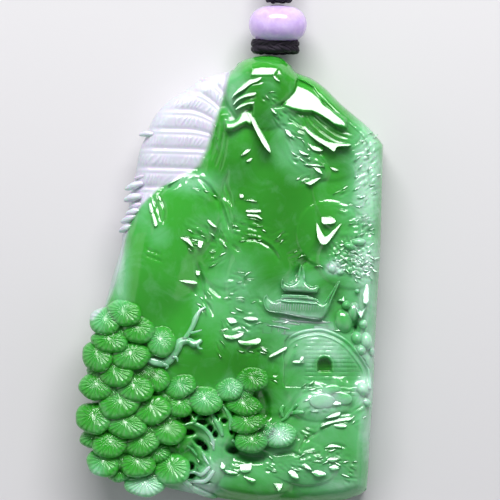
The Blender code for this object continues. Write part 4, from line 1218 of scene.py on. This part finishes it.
def makePads():
    clay = Clay()
    for number, pad in enumerate(pinePads):
        rings, middle = padRings(*pad, number)
        clay.add(np.vstack([middle, *rings]), dome(padShape["around"], len(rings) - 1))
    return jadePiece(clay, "pinePads")


pineWood = {  # route, half widths, lift in millimetres
    "leftEdge": (((210, 411), (215, 419), (220, 427), (223, 436)), (1.6, 2.4, 2.6, 2.0), 0.1),
    "leftFork": (((204, 404), (209, 409), (212, 415)), (1.2, 1.8, 1.8), 0.1),
    "rightEdge": (((223, 406), (228, 413), (231, 421), (230, 430)), (1.4, 2.2, 2.4, 2.0), 0.0),
    "archTop": (((184, 425), (193, 423), (204, 428), (212, 438), (214, 450)), (1.4, 2.0, 2.2, 2.2, 1.6), 0.0),
    "archTip": (((201, 412), (197, 417), (194, 423)), (1.0, 1.4, 1.8), 0.3),
    "rightBranch": (((232, 440), (244, 447), (260, 446), (276, 441)), (2, 2.4, 2.2, 1.6), 0.0),
    "lowRoot": (((210, 466), (202, 474), (194, 472), (186, 474)), (2.4, 2.2, 1.6, 1.0), 0.1),
    "midRoot": (((214, 470), (206, 480), (196, 481), (188, 482)), (2.6, 2.4, 2.0, 1.2), 0.0),
    "paleRoot": (((180, 477), (188, 484), (200, 490), (216, 497)), (2.5, 4.0, 4.4, 3.4), 0.2),
    "barkLine": (((187, 445), (192, 449), (197, 455)), (0.9, 1.3, 0.9), 0.3),
    "barkLineB": (((202.6, 450.6), (204.6, 457), (209, 464)), (0.9, 1.3, 0.9), 0.3),
    "twig": (((146, 359), (155, 362), (165, 363), (172, 357), (177, 350), (180, 343), (188, 341), (195, 344),
              (202, 340)), (3.6, 5, 4.2, 4.6, 3.6, 4.4, 3.2, 4.6, 3.0), 0.2),
    "twigUp": (((184, 340), (189, 333), (193, 326), (196, 318), (200, 311), (206, 307)),
                (3.4, 2.6, 2.2, 2.6, 1.8, 1.2), 0.3),
    "twigKnobA": (((163, 364), (168, 366), (166, 369)), (2.2, 1.6, 0.8), 0.7),
    "twigKnobB": (((172, 357), (177, 358), (178, 362)), (2.0, 1.4, 0.8), 0.7),
    "twigKnobC": (((190, 333), (196, 332), (202, 330)), (1.6, 1.1, 0.8), 0.7),
    "twigKnobD": (((197, 343), (199, 348), (203, 349)), (2.0, 1.2, 0.8), 0.7),
}


def makeWood(title, twigs, extraMint):
    clay = Clay()
    for name, (route, half, lift) in pineWood.items():
        if name.startswith("twig") != twigs:
            continue
        turn = random.Random(name).uniform(0, 6)

        def bark(angle, k):
            return 1 + 0.10 * np.cos(4 * angle + turn + 0.15 * k) + 0.05 * np.cos(9 * angle - 0.3 * k)

        stroke(clay, route, half, lift, 0.5, 14, bark)
    return jadePiece(clay, title, extraMint)


makePads()
makeWood("pineWood", False, 0.30)
makeWood("deadBranch", True, 0.65)

print("pavilion")
upperRoof = [
    (282.1, 278), (281.0, 282), (281.2, 286), (282.8, 290.2), (290, 291.6), (303, 292.4), (315.6, 293.3),
    (318.4, 290.6), (319.4, 287.6), (316.9, 285.2), (314, 286.4), (311, 287.0), (307.2, 284.4), (304.8, 279.7),
    (304.0, 270.8), (302.4, 266.8), (300.8, 264.2), (299.6, 267.5), (299.0, 271), (298.0, 277.2), (296.4, 281.2),
    (293.3, 283.7), (288.7, 284.8), (285.6, 283.4), (283.8, 280.6),
]
lowerRoof = [
    (266.2, 293.6), (263.8, 295.4), (262.6, 300.9), (264.3, 307.6), (269.2, 312.2), (276, 313.2), (284.1, 314.2),
    (294, 316.2), (303.7, 318.0), (312, 318.8), (319.7, 319.4), (323.4, 317.8), (327.8, 311.3), (331.2, 302.6),
    (334, 295), (337, 287.4), (340.8, 281.4), (338.4, 280.0), (334.6, 286.6), (331.4, 292.2), (328, 297.8),
    (325.6, 301.6), (323.2, 304.2), (319.7, 303.0), (315.1, 299.4), (308, 297.8), (298, 297.2), (288, 297.0),
    (281.6, 298.6), (278.6, 300.6), (274.6, 301.8), (270.4, 299.2), (268.2, 295.6),
]
pavilionLevel = {"floor": 0.10, "wall": 0.475, "lower": 0.57, "upper": 0.59, "yard": 0.46}
pavilionLines = [  # level, lift in metres, half width and route of the raised lines
    ("low", 0, 0.9, [(267, 295.4), (264.2, 298.5), (264.6, 305.5), (269, 311), (284, 313.2), (303, 317), (320, 318.4),
                     (327, 309.5)]),
    ("low", 0.0001, 0.9, [(327, 309), (330.6, 300), (334, 292.6), (339.4, 281.4)]),
    ("low", 0.0001, 0.8, [(324, 303.4), (329.6, 295.2), (335.4, 286)]),
    ("low", 0.0001, 0.9, [(275, 301.6), (279.5, 300.2), (288, 301.8), (302, 302.4), (318, 304.4)]),
    ("low", 0.0002, 0.9, [(281.5, 297.4), (283, 295.6), (296, 295.9), (309, 296.5)]),
    ("low", 0.0001, 0.8, [(297, 297.6), (308, 298.2), (316, 299.8), (319.6, 302.4)]),
    ("high", 0, 0.9, [(282, 279), (281.9, 284), (283.4, 289.4), (300, 291.2), (314.8, 292.4), (318.4, 288.4)]),
    ("high", 0, 0.8, [(285, 282.8), (289, 285), (293.6, 284), (297.5, 280.4)]),
    ("high", 0, 0.8, [(307, 284.6), (311, 287.2), (314.2, 286.8), (317, 285.6)]),
    ("high", 0.0001, (1.2, 1.0, 0.6), [(298.4, 278), (299.8, 270), (300.8, 264.6)]),
    ("high", 0, (1.1, 0.9, 0.5), [(304.2, 280), (303.4, 271), (301.4, 265.2)]),
    ("yard", 0, 1.1, [(252, 297.4), (258.3, 296.2), (262.9, 291.8), (269.4, 291.0)]),
    ("wall", 0, 1.0, [(264.6, 316.6), (275, 317.4), (283, 318.8), (290, 320.6), (313, 322.4), (331, 322.6)]),
    ("wall", 0, 0.6, [(266.6, 320.6), (284, 322.6), (300, 325)]),
    ("wall", 0, 0.9, [(266.4, 325.0), (278, 326.6), (290, 329)]),
    ("wall", 0, 0.8, [(289, 319.5), (296, 321.4), (300, 323.8)]),
]
posts = [(272, 327), (278.5, 328), (285, 329.4), (317, 323.4), (327, 324.4)]


def makePavilion():
    clay = Clay()
    levels = {name: level(share) for name, share in pavilionLevel.items()}
    wall, floor = levels["wall"], levels["floor"]
    plate(clay, [(263, 314), (290, 317), (322, 320), (333, 322), (335, 330), (318, 334), (288, 336), (262, 334)],
          wall, floor, 0.0003, 0.05)
    plate(clay, [(283, 294), (300, 294.6), (312, 296), (320, 304), (278, 303)], wall + 0.0003, floor, 0.0003)
    for roof, count, name, soft, tilt in (
        (lowerRoof, 120, "lower", 0.00045, -0.14), (upperRoof, 100, "upper", 0.00040, -0.24),
    ):
        plate(clay, [tuple(p) for p in spline(roof + roof[:1], count)[:-1]], levels[name], floor, soft, tilt)
    low, high = levels["lower"] + 0.00008, levels["upper"] + 0.00006
    heights = {"low": low, "high": high, "yard": levels["yard"], "wall": wall}

    def raised(route, half, height, ends=0.4):
        stroke(clay, route, half, 0, ends, 8, None, np.atleast_1d(height))

    for k in range(22):  # tile rows of the lower roof
        x = 270.5 + 2.5 * k
        top = 301.6 + 0.07 * k if k < 19 else 305
        foot = 311.6 + 0.37 * k
        raised([(x + 0.6, top + 1.2), (x, (top + foot) / 2), (x - 0.3, foot - 1)], 0.62, (low, low + 0.00002), 0.6)
    for k in range(8):  # tile rows of the upper roof
        x = 285 + 4.0 * k
        raised([(x + 0.3, 286.6), (x, 289.0), (x - 0.3, 291.4)], 0.8, high, 0.6)
    for name, lift, half, route in pavilionLines:
        raised(route, half, heights[name] + lift)
    for x, y in posts:
        raised([(x, y), (x - 0.4, y + 4.4)], 0.7, wall - 0.0001, 0.7)
    return jadePiece(clay, "pavilion", 0.12)


makePavilion()

print("arched wall")


def makeWall():
    clay = Clay()
    x, y = np.meshgrid(np.linspace(281, 371, 210), np.linspace(326.5, 389, 146))
    px, py = plan(x, y)
    slabOf(clay, np.stack([px, py, wallHeight(x, y)], -1), level(0.02))
    return jadePiece(clay, "archedWall", 0.05)


makeWall()

print("stones, petals and polished cuts")
lump = {"around": 24, "rings": 8, "fullness": 0.75, "root": 0.0010}
facetProfile = {0.42: 0.86, 0.95: 0.12, 1.0: -0.4}  # share of the way out, share of the height


def lumpOn(clay, x, y, wide, high, turn, rise, facets, seed):
    rng = random.Random(seed)
    around = facets or lump["around"]
    a = math.radians(turn)
    base = onRock(x, y)[0, 2]
    verts = [[*plan(x, y), base + rise / 1000]]
    profile = facetProfile if facets else {
        share: max(0, 1 - share**2) ** lump["fullness"] for share in np.linspace(0, 1, lump["rings"] + 1)[1:]
    }
    angles = np.linspace(0, 2 * math.pi, around, endpoint=False) + rng.uniform(0, 1)
    stretch = 1 + (np.array([rng.uniform(-0.16, 0.16) for _ in angles]) if facets else 0 * angles)
    for share, height in profile.items():
        u, v = wide * share * stretch * np.cos(angles), high * share * stretch * np.sin(angles)
        px, py = plan(x + u * math.cos(a) - v * math.sin(a), y - u * math.sin(a) - v * math.cos(a))
        verts += np.column_stack([px, py, np.full(around, base + height * rise / 1000)]).tolist()
    foot = np.array(verts[-around:])
    foot[:, 2] = base - lump["root"]
    clay.add(verts + foot.tolist(), dome(around, len(profile)))


stones = [  # x, y, half width, half height, turn, height in millimetres, number of facets
    (346, 305, 5.0, 4.8, 0, 1.3, 0), (363, 324, 4.8, 4.8, 0, 1.2, 0), (357, 291, 2.6, 2.4, 0, 0.9, 0),
    (343, 321, 9, 12, 12, 0.9, 0), (353, 312, 7, 10, -10, 0.8, 0), (366, 341, 6, 9, 5, 0.9, 0),
    (357, 338, 6, 7, 15, 0.9, 0), (371, 352, 4, 6, 0, 0.9, 0), (361, 350, 5, 5, 0, 0.7, 0),
    (362, 389, 7, 8, 25, 0.9, 5), (366, 402, 5, 7, 35, 0.7, 5), (331, 391, 10, 7, 10, 0.35, 0),
    (322, 401, 13, 8, 0, 0.3, 0), (340, 398, 12, 7, -10, 0.3, 0), (332, 268, 6, 6, -30, 0.5, 6),
    (340, 272, 5, 4, 10, 0.4, 5), (358, 242, 8, 4, 0, 0.7, 0), (349, 246, 6, 4, -20, 0.7, 0),
]
kites = [  # clear-cut facets at the right: outline and lift of the middle in millimetres
    ([(367, 280), (369, 290), (369, 301), (366.4, 305), (362.4, 303), (362.6, 294), (364.6, 287)], 0.9),
    ([(354, 305), (357.6, 308), (361, 311), (366.6, 306), (363.6, 313), (361, 319), (357.6, 314)], 0.8),
    ([(337, 300.4), (341, 298.4), (344, 295.6), (345, 302), (340.6, 301.6)], 0.5),
]


def makeStones():
    clay = Clay()
    for number, stone in enumerate(stones):
        lumpOn(clay, *stone, 100 + number)
    for points, lift in kites:
        cx, cy = np.mean(points, 0)
        top = float(onRock(cx, cy, lift)[0, 2])
        plate(clay, points, top, top - 0.0024, 0.0002, -facing["slope"])
    return jadePiece(clay, "smallStones", 0.10)


petals = [  # tip, root, half width and level of the frosted leaves along the left edge
    ((125, 189), (143, 183), 3.6, 0.12), ((124, 200), (141, 196), 4.2, 0.16), ((129, 207), (143, 205), 3.6, 0.10),
    ((126, 214), (141, 211), 3.8, 0.16), ((121, 222), (138, 216), 3.8, 0.12), ((119, 231), (134, 226), 3.8, 0.08),
    ((139, 134), (154, 134), 3.0, 0.06), ((134, 178), (150, 176), 2.2, 0.10),
]


cuts = {
    "tries": 60, "fieldPerCut": 36, "apart": (8, 4), "scatter": 16, "reach": (2.4, 5.2), "half": (0.5, 0.95),
    "sag": (-0.2, 0.35), "grow": 1.10, "lean": 0.20, "root": 0.0016, "soft": 0.00005,
}


def placeCuts(rng, cx, cy, wide, high):  # random places in a field that keep apart
    placed = []
    for _ in range(cuts["tries"]):
        u, v = rng.uniform(-1, 1), rng.uniform(-1, 1)
        x, y = cx + wide * u, cy + high * v
        free = all(math.hypot((x - a) / cuts["apart"][0], (y - b) / cuts["apart"][1]) > 1 for a, b in placed)
        if len(placed) < wide * high / cuts["fieldPerCut"] and u * u + v * v < 1 and free:
            placed.append((x, y))
    return placed


def makeCuts():  # the small polished cuts that catch the window
    clay = Clay()
    rng = random.Random(12)
    outlines = [points for points in glints if thickness(points) < facing["small"]]
    for cx, cy, wide, high, turn, pitch, lift in rippleFields:
        for x, y in placeCuts(rng, cx, cy, wide, high):
            degrees = turn + rng.gauss(0, cuts["scatter"])
            reach, half, sag = (rng.uniform(*cuts[name]) for name in ("reach", "half", "sag"))
            outlines.append(lozenge(x, y, degrees, reach, half, sag))
    for points in outlines:
        loop = spline(list(points) + [points[0]], max(14, 4 * len(points)))[:-1]
        loop = loop.mean(0) + cuts["grow"] * (loop - loop.mean(0))
        spots = onRock(*loop.T)
        flat = spots[:, :2] - spots[:, :2].mean(0)
        lean = np.sum(flat[:, 0] * spots[:, 2]) / np.sum(flat[:, 0] ** 2)
        lean = float(np.clip(lean, -cuts["lean"], cuts["lean"]))
        need = spots[:, 2] - flat @ (lean, -facing["slope"])
        top = float(0.7 * need.max() + 0.3 * need.mean()) + facing["lift"]
        plate(clay, loop, top, top - cuts["root"], cuts["soft"], -facing["slope"], lean)
    return jadePiece(clay, "polishedCuts")


paleTwig = [  # routes of the small fork on the cloud rock
    ((281, 421), (286, 417), (289, 413), (294, 407), (297, 404)),
    ((289, 414), (296, 412), (304, 412)), ((283, 417), (281, 410), (284, 405)),
]


def makePetals():
    clay = Clay()
    for tip, root, half, height in petals:
        middle = (0.45 * tip[0] + 0.55 * root[0], 0.45 * tip[1] + 0.55 * root[1] - 0.8)
        stroke(clay, (root, middle, tip), (0.9 * half, half, 0.8 * half), 0, 0.45, 12, None,
               (level(height + 0.12), level(height + 0.06), level(height - 0.06)))
    topPetal = (level(0.05), level(0.0), level(-0.1))
    stroke(clay, ((206, 84), (203, 80), (201, 76)), (3.2, 2.2, 1.0), 0, 0.5, 10, None, topPetal)
    for route in paleTwig:
        stroke(clay, route, (1.6, 2.4, 2.0), 0.25, 0.6, 10)
    return jadePiece(clay, "leftPetals", 0.1)


makeStones()
makePetals()
makeCuts()
